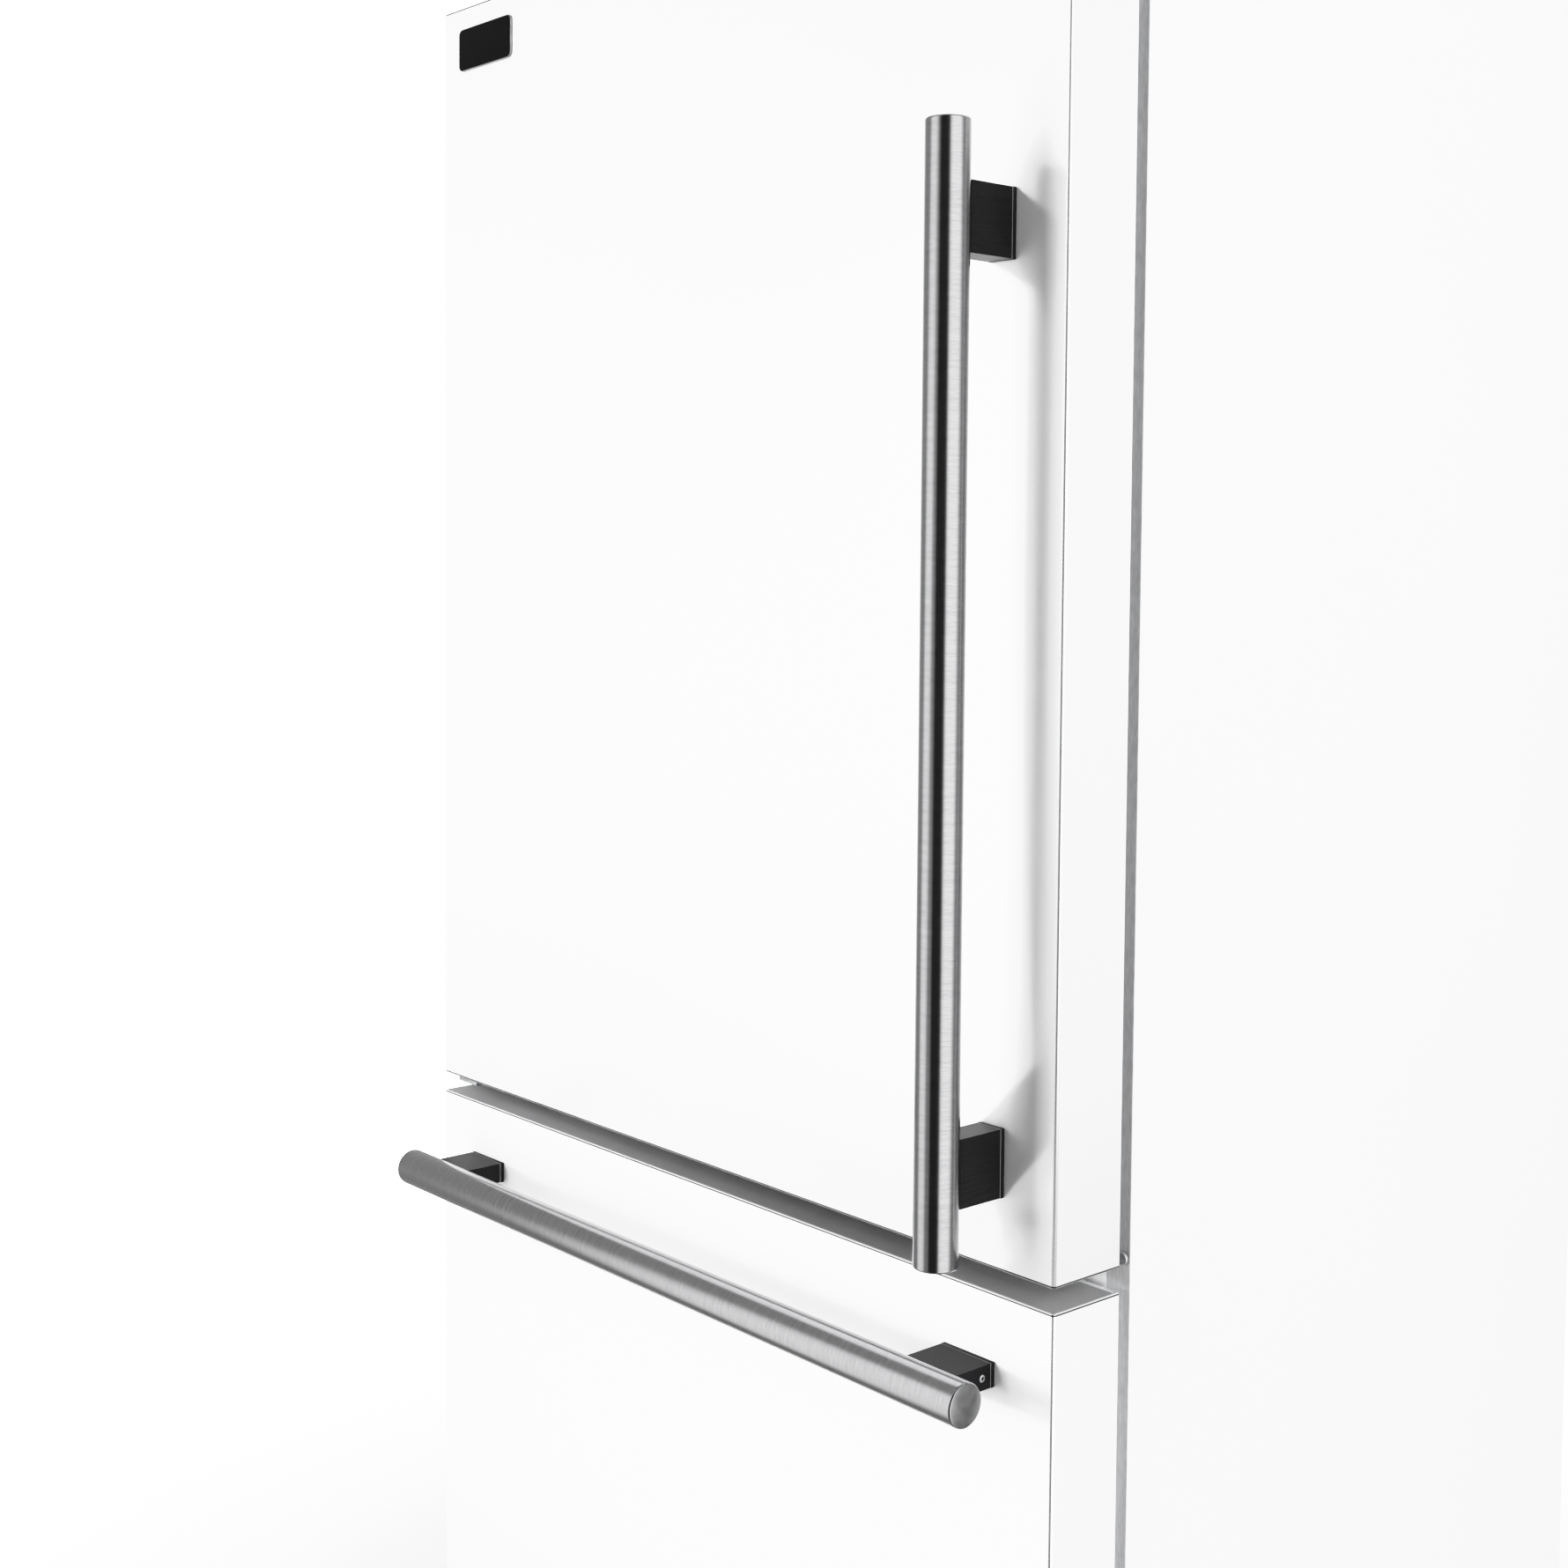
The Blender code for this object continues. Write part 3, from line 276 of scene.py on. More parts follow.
# The compressor is a welded steel can, enamelled black, bolted through four rubber grommets in its
# legs. Copper pipes carry the hot gas to the condenser and bring the cold gas back.
def can_enamel(place):
    peel = place.noise(420.0, 2.0)
    dust = place.noise(34.0, 5.0)
    up = place.part("Z").rise(0.12, 0.24)
    return {
        "Base Color": (dust * 0.6 + up * 0.3).between((0.010, 0.010, 0.011), (0.060, 0.058, 0.055)),
        "Roughness": 0.22 + 0.35 * dust,
        "Normal": peel.bump(0.00009),
    }


enamel = finish("black_enamel", {"Coat Weight": 0.4, "Coat Roughness": 0.12}, can_enamel)
dress("compressor", enamel)


def drawn_copper(place):
    tarnish = place.noise(38.0, 4.0)
    drawn = place.noise(700.0, 1.0)
    return {
        "Base Color": tarnish.between((0.78, 0.40, 0.25), (0.45, 0.22, 0.13)),
        "Roughness": 0.20 + 0.35 * tarnish,
        "Normal": drawn.bump(0.00004),
    }


copper = finish("copper_tube", {"Metallic": 1.0}, drawn_copper)


def tube(name, points, radius, material, body, slot):
    """A bent tube through the given points, as a curve with closed ends."""
    curve = bpy.data.curves.new(name, "CURVE")
    curve.dimensions = "3D"
    curve.bevel_depth = radius
    curve.bevel_resolution = 4
    curve.resolution_u = 8
    curve.use_fill_caps = True
    spline = curve.splines.new("BEZIER")
    spline.bezier_points.add(len(points) - 1)
    for knot, spot in zip(spline.bezier_points, points):
        knot.co = spot
        knot.handle_left_type = "AUTO"
        knot.handle_right_type = "AUTO"
    curve.materials.append(material)
    obj = bpy.data.objects.new(name, curve)
    bpy.context.collection.objects.link(obj)
    fit(obj, body, slot)


CAN_RIGHT = 0.086
LEG_REACH = 0.058
LEG_TOP = 0.004
DISCHARGE_PIPE = 0.0032
SUCTION_PIPE = 0.0042
can_low, can_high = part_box("compressor")
can_x = can_high.x - CAN_RIGHT
can_y = (can_low.y + can_high.y) / 2
coil_low, coil_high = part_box("condenser_coil")
discharge = [
    (can_x - 0.030, can_y - 0.064, can_low.z + 0.060),
    (can_x - 0.034, can_y - 0.082, can_low.z + 0.066),
    (can_x - 0.050, can_y - 0.086, can_low.z + 0.120),
    (can_x - 0.105, can_y - 0.086, can_low.z + 0.185),
    (can_x - 0.200, can_y - 0.088, can_low.z + 0.200),
    (coil_high.x + 0.012, can_y - 0.086, can_low.z + 0.200),
    (coil_high.x - 0.020, can_y - 0.040, can_low.z + 0.196),
    (coil_high.x - 0.026, can_y - 0.006, coil_high.z - 0.010),
]
tube("discharge_pipe", discharge, DISCHARGE_PIPE, copper, "cabinet", "copper_tube")
suction = [
    (can_x + 0.020, can_y - 0.068, can_low.z + 0.070),
    (can_x + 0.024, can_y - 0.086, can_low.z + 0.078),
    (can_x + 0.040, can_y - 0.092, can_low.z + 0.140),
    (can_x + 0.060, can_y - 0.090, can_low.z + 0.200),
    (can_x + 0.060, can_y - 0.060, can_low.z + 0.232),
]
tube("suction_pipe", suction, SUCTION_PIPE, copper, "cabinet", "copper_tube")

bm = bmesh.new()
rings = [(0.0045, 0.0, 0.0), (0.0045, 0.0040, 0.0), (0.0070, 0.0044, 0.0), (0.0070, 0.0060, 0.0)]
rings += [(0.0055, 0.0072, 0.0), (0.0030, 0.0078, 0.0)]
for lean_x, lean_y in ((-1, -1), (-1, 1), (1, -1), (1, 1)):
    spot = (can_x + LEG_REACH * lean_x, can_y + LEG_REACH * lean_y, can_low.z + LEG_TOP)
    lathe(bm, rings, Matrix.Translation(spot), 24)
fit(link("compressor_grommets", bm, black_nylon), "cabinet", "dark_plastic")


# The condenser is a copper serpentine pushed through thin aluminium fins. A five-bladed fan on the
# shroud draws air through it and over the compressor. The fins are rolled foil with a faint sheen.
def rolled_foil(place):
    ripple = place.noise(160.0, 2.0, (1.0, 1.0, 0.12))
    cloud = place.noise(12.0, 3.0)
    return {
        "Base Color": cloud.between((0.66, 0.67, 0.69), (0.84, 0.85, 0.86)),
        "Roughness": 0.28 + 0.22 * cloud,
        "Normal": ripple.bump(0.00005),
    }


foil = finish("aluminium_foil", {"Metallic": 1.0}, rolled_foil)
FIN = 0.00025


def fins(name, count, wide, deep, tall):
    """A row of thin upright plates across a coil."""
    bm = bmesh.new()
    for i in range(count):
        x = wide[0] + (wide[1] - wide[0]) * i / (count - 1)
        sides = ((x - FIN / 2, x + FIN / 2), deep, tall)
        cube = bmesh.ops.create_cube(bm, size=1.0)["verts"]
        for vert in cube:
            for axis, (low, high) in enumerate(sides):
                vert.co[axis] = high if vert.co[axis] > 0 else low
    fit(link(name, bm, foil, 20.0), "cabinet", "aluminium")


dress("condenser_coil", copper)
coil_y = (coil_low.y + coil_high.y) / 2
stack_wide = (coil_low.x + 0.022, coil_high.x - 0.022)
stack_tall = (coil_low.z - 0.004, coil_high.z + 0.004)
fins("condenser_fins", 40, stack_wide, (coil_y - 0.014, coil_y + 0.014), stack_tall)

BLADES = 5
STATIONS = 8
CHORD_STEPS = 4
ROOT_PITCH = 34
TWIST = 16
LEADING_SHARE = 0.35
SWEEP = 0.10
BLADE_RISE = 0.45
HALF_BLADE = 0.0006
FAN_DEPTH = 0.016
FAN_GAP = 0.0004


def bladed_fan(node, axis, material, slot, radius, hub):
    """A moulded fan: a domed hub and five swept blades with a twist from root to tip."""
    low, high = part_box(node)
    spin = facing((low + high) / 2, axis)
    half = min((high - low).dot(Vector(axis)), FAN_DEPTH) / 2 - FAN_GAP
    bm = bmesh.new()
    cap = [(hub * 0.92, -half, 0.0), (hub, -half + 0.001, 0.0), (hub, half * 0.5, 0.0)]
    for lift in (0.4, 0.8, 1.2, 1.45):
        cap.append((hub * math.cos(lift), half * 0.5 + half * 0.5 * math.sin(lift), 0.0))
    lathe(bm, cap, spin, 32)
    for blade in range(BLADES):
        rows = []
        for i in range(STATIONS + 1):
            reach = hub * 0.9 + (radius * 0.985 - hub * 0.9) * i / STATIONS
            pitch = math.radians(ROOT_PITCH - TWIST * i / STATIONS)
            chord = radius * (0.34 + 0.10 * math.sin(math.pi * i / STATIONS))
            start = 2 * math.pi * blade / BLADES + SWEEP * i / STATIONS
            row = []
            for k in range(CHORD_STEPS + 1):
                along = (k / CHORD_STEPS - LEADING_SHARE) * chord
                angle = start + along * math.cos(pitch) / max(reach, 0.012)
                rise = max(-half, min(half, along * math.sin(pitch) * BLADE_RISE))
                row.append(Vector((reach * math.cos(angle), reach * math.sin(angle), rise)))
            rows.append(row)
        for face_rise in (HALF_BLADE, -HALF_BLADE):
            up = Vector((0, 0, face_rise))
            grid = [[bm.verts.new(spin @ (spot + up)) for spot in row] for row in rows]
            for a, b in zip(grid, grid[1:]):
                for k in range(CHORD_STEPS):
                    bm.faces.new((a[k], a[k + 1], b[k + 1], b[k]))
            if face_rise > 0:
                upper = grid
        rim_up = [row[0] for row in upper] + upper[-1][1:] + [row[-1] for row in upper[-2::-1]]
        rim_low = [row[0] for row in grid] + grid[-1][1:] + [row[-1] for row in grid[-2::-1]]
        for a, b, c, d in zip(rim_up, rim_up[1:], rim_low[1:], rim_low):
            bm.faces.new((a, b, c, d))
    fit(link(node + "_blades", bm, material), node, slot, node)


bladed_fan("condenser_fan", (1, 0, 0), black_nylon, "dark_plastic", radius=0.068, hub=0.018)


# A painted steel panel closes the cabinet's back, and a slotted one covers the machinery. Both are
# held by zinc-plated cross-head screws through pressed dimples.
def cross(angle):
    """The shape of a cross-head drive."""
    lobe = abs(math.cos(2 * angle))
    return 0.32 + 0.68 * lobe ** 6


HEAD_TALL = 0.55
DRIVE_DEPTH = 0.55


def screw_rings(radius):
    """A pan head with a sunk drive, from its flange to the bottom of the drive."""
    tall = radius * HEAD_TALL
    rings = [(radius, 0.0, 0.0), (radius, tall * 0.3, 0.0), (radius * 0.94, tall * 0.62, 0.0)]
    rings += [(radius * 0.80, tall * 0.88, 0.0), (radius * 0.62, tall, 0.0)]
    rings += [(radius * 0.60, tall, 1.0), (radius * 0.42, tall * (1 - DRIVE_DEPTH), 1.0)]
    rings += [(radius * 0.12, tall * 0.2, 1.0)]
    return rings


def screws(name, spots, axis, radius, body, shape=cross):
    """Zinc-plated screw heads at the given spots, all facing one way, as one piece."""
    bm = bmesh.new()
    for spot in spots:
        lathe(bm, screw_rings(radius), facing(spot, axis), 32, shape)
    fit(link(name, bm, zinc, 30.0), body, "zinc_plated_steel")


def painted_back(place):
    peel = place.noise(520.0, 2.0)
    cloud = place.noise(5.0, 4.0)
    return {
        "Base Color": cloud.between((0.50, 0.51, 0.52), (0.62, 0.63, 0.64)),
        "Roughness": 0.36 + 0.18 * cloud,
        "Normal": (peel + place.cells(90.0) * 0.5).bump(0.00005),
    }


back_steel = finish("galvanised_back", {"Metallic": 0.55}, painted_back)
dress("rear_panel", back_steel)
dress("compressor_cover", back_steel)

COVER_SCREW = 0.0045
COVER_RECESS = 0.0026
cover_low, cover_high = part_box("compressor_cover")
back_spots = []
for z in (cover_low.z + 0.018, cover_high.z - 0.022):
    for x in (-0.385, -0.130, 0.130, 0.385):
        back_spots.append((x, cover_high.y - COVER_RECESS, z))
screws("compressor_cover_screws", back_spots, (0, 1, 0), COVER_SCREW, "cabinet")


# The cabinet is one sheet of white enamelled steel wrapped round the top and sides, its front edges
# turned in as flanges of brushed grey, where the gaskets' magnets seat. The rail that joins them
# between the two openings is white.
FLANGE_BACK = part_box("cabinet_shell")[0].y + 0.0006
FLANGE_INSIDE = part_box("cabinet_shell")[1].x - 0.0220
RAIL = (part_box("drawer_skin")[1].z - 0.030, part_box("door_skin")[0].z + 0.030)
MASKED_EDGE = 0.0005


def between_heights(place, low, high):
    """1 where a place lies between two heights."""
    z = place.part("Z")
    return z.rise(low - MASKED_EDGE, low) * (1 - z.rise(high, high + MASKED_EDGE))


def cabinet_paint(place):
    peel = place.noise(300.0, 2.0)
    cloud = place.noise(4.0, 3.0)
    brushed = place.noise(420.0, 3.0, (1.0, 1.0, 0.25))
    front = 1 - place.part("Y").rise(FLANGE_BACK, FLANGE_BACK + 0.0004)
    out = place.node("ShaderNodeMath", {"operation": "ABSOLUTE"}, {0: place.part("X")})
    side = out.rise(FLANGE_INSIDE - MASKED_EDGE, FLANGE_INSIDE)
    bare = front * (1 - (1 - side) * between_heights(place, *RAIL))
    white = cloud.between((0.86, 0.86, 0.865), (0.90, 0.90, 0.90))
    grey = brushed.between((0.40, 0.40, 0.405), (0.64, 0.64, 0.645))
    return {
        "Base Color": bare.pick(white, grey),
        "Roughness": 0.26 + 0.08 * cloud + bare * 0.16,
        "Metallic": bare * 0.30,
        "Normal": (peel * 0.6 + bare * brushed).bump(0.00004),
    }


cabinet_coat = {"Coat Weight": 0.5, "Coat Roughness": 0.15}
cabinet_white = finish("cabinet_enamel", cabinet_coat, cabinet_paint)
MESH_WELD = 0.000005
FLAT_ANGLE = math.radians(0.5)
EDGE_ANGLE = math.radians(30)


def ease_edges(obj, name, width, segments):
    """Rolls an object's sharp edges over."""
    bevel = obj.modifiers.new(name, "BEVEL")
    bevel.width = width
    bevel.segments = segments
    bevel.limit_method = "ANGLE"
    bevel.angle_limit = EDGE_ANGLE
    bevel.harden_normals = True


def rounded(node, body, width, material, slot, segments=3):
    """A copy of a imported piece, its sharp edges rolled over by a width, in the original's place."""
    bm = bmesh.new()
    bm.from_mesh(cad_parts[node].data)
    bmesh.ops.remove_doubles(bm, verts=bm.verts, dist=MESH_WELD)
    bmesh.ops.dissolve_limit(bm, angle_limit=FLAT_ANGLE, verts=bm.verts, edges=bm.edges)
    obj = link(node + "_rounded", bm, material, 180.0)
    ease_edges(obj, "rolled edges", width, segments)
    fit(obj, body, slot, node)


rounded("cabinet_shell", "cabinet", 0.0009, cabinet_white, "white_enamel")


# Polyurethane foam fills the space between the shell and the liners and bonds them. It foams in
# place, so it shows small round cells where it is cut.
def foamed(place):
    cell = place.cells(700.0)
    cloud = place.noise(20.0, 3.0)
    return {
        "Base Color": cloud.between((0.74, 0.66, 0.42), (0.88, 0.82, 0.60)),
        "Roughness": 0.80 + 0.15 * cell,
        "Normal": cell.bump(0.0003),
    }


dress("cabinet_foam", finish("insulating_foam", {}, foamed))


# The two liners are vacuum-formed from white plastic sheet, smooth inside, with moulded ledges for
# the shelves. The freezer's back steps forwards over the machinery.
def formed_white(place):
    flow = place.noise(6.0, 3.0)
    fine = place.noise(480.0, 2.0)
    return {
        "Base Color": flow.between((0.80, 0.81, 0.82), (0.87, 0.88, 0.89)),
        "Roughness": 0.26 + 0.14 * flow,
        "Normal": fine.bump(0.00003),
    }


liner_white = finish("liner_plastic", {"Specular IOR Level": 0.55}, formed_white)
rounded("fridge_liner", "cabinet", 0.0008, liner_white, "liner_plastic")
rounded("freezer_liner", "cabinet", 0.0010, liner_white, "liner_plastic")


# Behind the freezer's rear panel the evaporator cools the air: an aluminium tube through a stack of
# fins, with a small fan in the panel's mouth. A second panel spreads the air through the fridge.
tube_low, tube_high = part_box("evaporator_coil")
tube_y = (tube_low.y + tube_high.y) / 2
dress("evaporator_coil", foil)
stack_wide = (tube_low.x + 0.030, tube_high.x - 0.030)
stack_tall = (tube_low.z - 0.002, tube_high.z + 0.002)
fins("evaporator_fins", 66, stack_wide, (tube_y - 0.013, tube_y + 0.013), stack_tall)
rounded("freezer_duct_panel", "cabinet", 0.0008, liner_white, "liner_plastic")
rounded("fridge_duct_panel", "cabinet", 0.0030, liner_white, "liner_plastic")
bladed_fan("evaporator_fan", (0, 1, 0), liner_white, "liner_plastic", radius=0.050, hub=0.014)
DUCT_SCREW = 0.0040
SCREW_SINK = 0.0004
for space, reach, margin in (("freezer", 0.345, 0.03), ("fridge", 0.140, 0.02)):
    low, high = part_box(space + "_duct_panel")
    front = low.y + SCREW_SINK
    spots = []
    for x in (-reach, reach):
        spots += [(x, front, low.z + margin), (x, front, high.z - margin)]
    screws(space + "_duct_screws", spots, (0, -1, 0), DUCT_SCREW, "cabinet")


# The control housing is moulded and clips to the fridge's ceiling. Its lens is frosted clear plastic
# over a strip of small lights, and five grey touch pads are moulded in its front edge.
def frosted(place):
    sockets = {"Vector": place, "Scale": 120.0}
    prism = place.node("ShaderNodeTexWave", {"bands_direction": "X"}, sockets)
    return {
        "Base Color": place.noise(30.0).between((0.90, 0.93, 0.94), (0.97, 0.98, 0.98)),
        "Roughness": 0.22 + 0.10 * prism,
        "Normal": prism.bump(0.0004),
    }


frosted_lens = finish("frosted_lens", {"Transmission Weight": 0.75, "IOR": 1.49}, frosted)


def block(bm, low, high, ease):
    """A block between two corners, its edges rolled over by the given amount, or left sharp at 0."""
    cube = bmesh.ops.create_cube(bm, size=1.0)["verts"]
    for vert in cube:
        for axis in range(3):
            vert.co[axis] = high[axis] if vert.co[axis] > 0 else low[axis]
    edges = list({edge for vert in cube for edge in vert.link_edges})
    if ease:
        bmesh.ops.bevel(bm, geom=edges, offset=ease, segments=3, profile=0.5, affect="EDGES")


HOUSING_EASE = 0.0035
LENS_DROP = 0.008
LENS_WIDE = 0.110
LENS_DEEP = 0.050
LENS_EASE = 0.0025
TOUCH_PADS = 5
FIRST_PAD = -0.080
PAD_STEP = 0.040
housing_low, housing_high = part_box("control_panel")
bm = bmesh.new()
lip_low = (housing_low.x, housing_low.y, housing_low.z + LENS_DROP)
block(bm, lip_low, housing_high, HOUSING_EASE)
fit(link("control_housing", bm, liner_white, 30.0), "cabinet", "liner_plastic", "control_panel")
lens_y = (housing_low.y + housing_high.y) / 2 + 0.020
lens_top = housing_low.z + LENS_DROP + 0.001
bm = bmesh.new()
lens_low = (-LENS_WIDE, lens_y - LENS_DEEP, housing_low.z)
block(bm, lens_low, (LENS_WIDE, lens_y + LENS_DEEP, lens_top), LENS_EASE)
fit(link("light_lens", bm, frosted_lens, 30.0), "cabinet", "clear_plastic")


def dark_plastic(place):
    fine = place.noise(1200.0, 2.0)
    return {
        "Base Color": place.noise(14.0, 3.0).between((0.10, 0.105, 0.11), (0.16, 0.165, 0.17)),
        "Roughness": 0.42 + 0.15 * fine,
        "Normal": fine.bump(0.00003),
    }


pad_grey = finish("pad_plastic", {}, dark_plastic)
pads_z = (housing_low.z + LENS_DROP + housing_high.z) / 2
rings = [(0.0062, 0.0, 0.0), (0.0062, 0.0006, 0.0), (0.0056, 0.0012, 0.0), (0.0030, 0.0013, 0.0)]
bm = bmesh.new()
for i in range(TOUCH_PADS):
    spot = (FIRST_PAD + PAD_STEP * i, housing_low.y + 0.0002, pads_z)
    lathe(bm, rings, facing(spot, (0, -1, 0)), 24)
fit(link("control_touch_pads", bm, pad_grey), "cabinet", "grey_plastic")


# Each shelf is a tempered glass pane held in a moulded white frame that rests on the liner's ledges.
# A bare pane covers the two crispers. Float glass is faintly green through its edge.
def float_glass(place):
    smear = place.noise(11.0, 4.0)
    return {
        "Base Color": smear.between((0.86, 0.93, 0.91), (0.90, 0.95, 0.94)),
        "Roughness": 0.02 + 0.05 * smear,
    }


glass = finish("shelf_glass", {"Transmission Weight": 0.92, "IOR": 1.50}, float_glass)
for name in ("upper", "lower"):
    rounded(name + "_shelf_frame", "cabinet", 0.0016, liner_white, "liner_plastic")
    rounded(name + "_shelf_glass", "cabinet", 0.0004, glass, "shelf_glass", 2)
rounded("crisper_cover", "cabinet", 0.0012, glass, "shelf_glass")


# The crispers, the door's bins and the freezer's trays are injection-moulded in clear styrene. It is
# glossy, very slightly blue, and wavy where the melt flowed into the mould.
def clear_styrene(place):
    flow = place.noise(9.0, 3.0)
    scuff = place.noise(160.0, 4.0, (1.0, 0.3, 1.0))
    return {
        "Base Color": flow.between((0.86, 0.91, 0.93), (0.93, 0.96, 0.97)),
        "Roughness": 0.05 + 0.14 * scuff,
        "Normal": flow.bump(0.0010),
    }


styrene = finish("clear_styrene", {"Transmission Weight": 0.85, "IOR": 1.56}, clear_styrene)
for side in ("left", "right"):
    rounded("crisper_" + side, "crisper_" + side, 0.0014, styrene, "clear_plastic")


# The toe grille is a moulded grey plinth with three rows of slots, clipped to the base between the
# front feet.
def moulded_grey(place):
    fine = place.noise(1100.0, 2.0)
    cloud = place.noise(7.0, 3.0)
    return {
        "Base Color": cloud.between((0.30, 0.305, 0.31), (0.38, 0.385, 0.39)),
        "Roughness": 0.34 + 0.16 * cloud,
        "Normal": fine.bump(0.00003),
    }


grey = finish("grey_plastic", {}, moulded_grey)
rounded("toe_grille", "cabinet", 0.0008, grey, "grey_plastic")


# The door hangs on two pins. The top one is riveted to a plate that is bolted to the cabinet under a
# moulded cover, and the middle one to a plate that two screws hold to the rail.
dress("top_hinge_bracket", zinc)
rounded("middle_hinge_bracket", "cabinet", 0.0006, zinc, "zinc_plated_steel", 2)
rounded("top_hinge_cover", "cabinet", 0.0045, grey, "grey_plastic", 5)
hinge_low, hinge_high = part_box("top_hinge_cover")
hinge_x = (hinge_low.x + hinge_high.x) / 2
cover_spots = [(hinge_x, hinge_high.y - 0.030, hinge_high.z - 0.0030)]
screws("top_hinge_cover_screw", cover_spots, (0, 0, 1), COVER_SCREW, "cabinet")
HINGE_SCREW = 0.0038
arm_low, arm_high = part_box("middle_hinge_bracket")
arm_z = (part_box("door_skin")[0].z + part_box("drawer_skin")[1].z) / 2
arm_spots = [(arm_high.x - inset, arm_high.y - 0.0032, arm_z) for inset in (0.010, 0.022)]
screws("middle_hinge_screws", arm_spots, (0, -1, 0), HINGE_SCREW, "cabinet")


# A pressed zinc-plated cap plugs the hinge hole at the rail's right end, which is there so that the
# door can be hung on the other side. Its centre is sunk.
plug_low, plug_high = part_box("hinge_hole_plug")
plug_middle = (plug_low + plug_high) / 2
tall = plug_high.y - plug_low.y
plug_rings = [(0.0042, 0.0, 0.0), (0.0042, tall * 0.30, 0.0), (0.0054, tall * 0.34, 0.0)]
plug_rings += [(0.0054, tall * 0.70, 0.0), (0.0051, tall * 0.92, 0.0), (0.0046, tall, 0.0)]
plug_rings += [(0.0041, tall * 0.90, 0.0), (0.0036, tall * 0.45, 0.0), (0.0012, tall * 0.40, 0.0)]
bm = bmesh.new()
lathe(bm, plug_rings, facing((plug_middle.x, plug_high.y, plug_middle.z), (0, -1, 0)), 40)
fit(link("hinge_hole_cap", bm, zinc), "cabinet", "zinc_plated_steel", "hinge_hole_plug")


# The door and the drawer front have white enamelled steel skins, folded round small rolled corners,
# and moulded grey caps close their ends. The enamel is baked on thick, so it is glossy with a faint
# orange peel. The rolled corners mirror more of the room, and a thin painted shade line just inside
# each end of a skin stands in for the shade where the sheet folds over the cap.
SKIN_LOW, SKIN_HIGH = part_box("door_skin")
DRAWER_LOW, DRAWER_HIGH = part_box("drawer_skin")
SHEET = 0.0015
CORNER = 0.003
ROLL_EDGE = 0.0008
# A painted shade line runs just inside each end of a skin: where it starts and ends, inwards from the
# end, how soft its edges are, and its dark grey.
SHADE_LINE_END = 0.0018
SHADE_LINE_START = 0.0004
SHADE_LINE_EDGE = 0.0001
FOLD_SHADE_GREY = (0.10, 0.10, 0.10, 1.0)


def baked_enamel(place):
    peel = place.noise(260.0, 2.0)
    cloud = place.noise(3.0, 3.0)
    x, y, z = (place.part(name) for name in "XYZ")
    side = SKIN_HIGH.x - CORNER
    face = SKIN_LOW.y + CORNER
    left_roll = 1 - x.rise(-side - ROLL_EDGE, -side)
    corners = x.rise(side, side + ROLL_EDGE) + left_roll * 0.35
    rolled = corners * (1 - y.rise(face - ROLL_EDGE, face))
    # Painted shade: a dark grey band just inside the top and bottom ends of the door's and the
    # drawer's skins, in place of the shade where each sheet folds over its cap.
    painted_fold_shade = 0
    for low, high in ((SKIN_LOW.z, SKIN_HIGH.z), (DRAWER_LOW.z, DRAWER_HIGH.z)):
        for near, far in ((low + SHADE_LINE_START, low + SHADE_LINE_END), (high - SHADE_LINE_END, high - SHADE_LINE_START)):
            painted_fold_shade = painted_fold_shade + z.rise(near, near + SHADE_LINE_EDGE) * (1 - z.rise(far - SHADE_LINE_EDGE, far))
    white = cloud.between((0.91, 0.91, 0.915), (0.94, 0.94, 0.94))
    return {
        "Base Color": painted_fold_shade.pick(white, FOLD_SHADE_GREY),
        "Roughness": 0.17 + 0.05 * cloud,
        "Metallic": 0.28 + 0.62 * rolled,
        "Normal": peel.bump(0.000010),
    }


panel_coat = {"Coat Weight": 0.4, "Coat Roughness": 0.10}
panel_white = finish("baked_enamel", panel_coat, baked_enamel)
ROLL_STEPS = 10
CUT_EASE = 0.00045


def panel_outline(low, high, inset):
    """The skin from above, as (x, y) from the left back round the rolled corners to the right."""
    radius = CORNER - inset
    line = [(low.x + inset, high.y)]
    for x, start in ((low.x + CORNER, math.pi), (high.x - CORNER, 1.5 * math.pi)):
        for k in range(ROLL_STEPS + 1):
            angle = start + math.pi / 2 * k / ROLL_STEPS
            line.append((x + radius * math.cos(angle), low.y + CORNER + radius * math.sin(angle)))
    line.append((high.x - inset, high.y))
    return line


def folded_skin(node, body):
    """The folded sheet, with its cut ends eased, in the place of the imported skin."""
    low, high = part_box(node)
    bm = bmesh.new()
    levels = [(low.z, CUT_EASE), (low.z + CUT_EASE, 0.0)]
    levels += [(high.z - CUT_EASE, 0.0), (high.z, CUT_EASE)]
    outer = []
    for z, shrink in levels:
        outer.append([bm.verts.new((x, y, z)) for x, y in panel_outline(low, high, shrink)])
    inner = []
    for z in (low.z, high.z):
        inner.append([bm.verts.new((x, y, z)) for x, y in panel_outline(low, high, SHEET)])
    count = len(outer[0])
    rows = [inner[0], *outer, inner[1], inner[0]]
    for a, b in zip(rows, rows[1:]):
        for k in range(count - 1):
            bm.faces.new((a[k], a[k + 1], b[k + 1], b[k]))
    for k in (0, count - 1):
        bm.faces.new([row[k] for row in rows[:-1]])
    fit(link(node + "_folded", bm, panel_white, 50.0), body, "white_door_skin", node)


GASKET_WIDE = 0.016


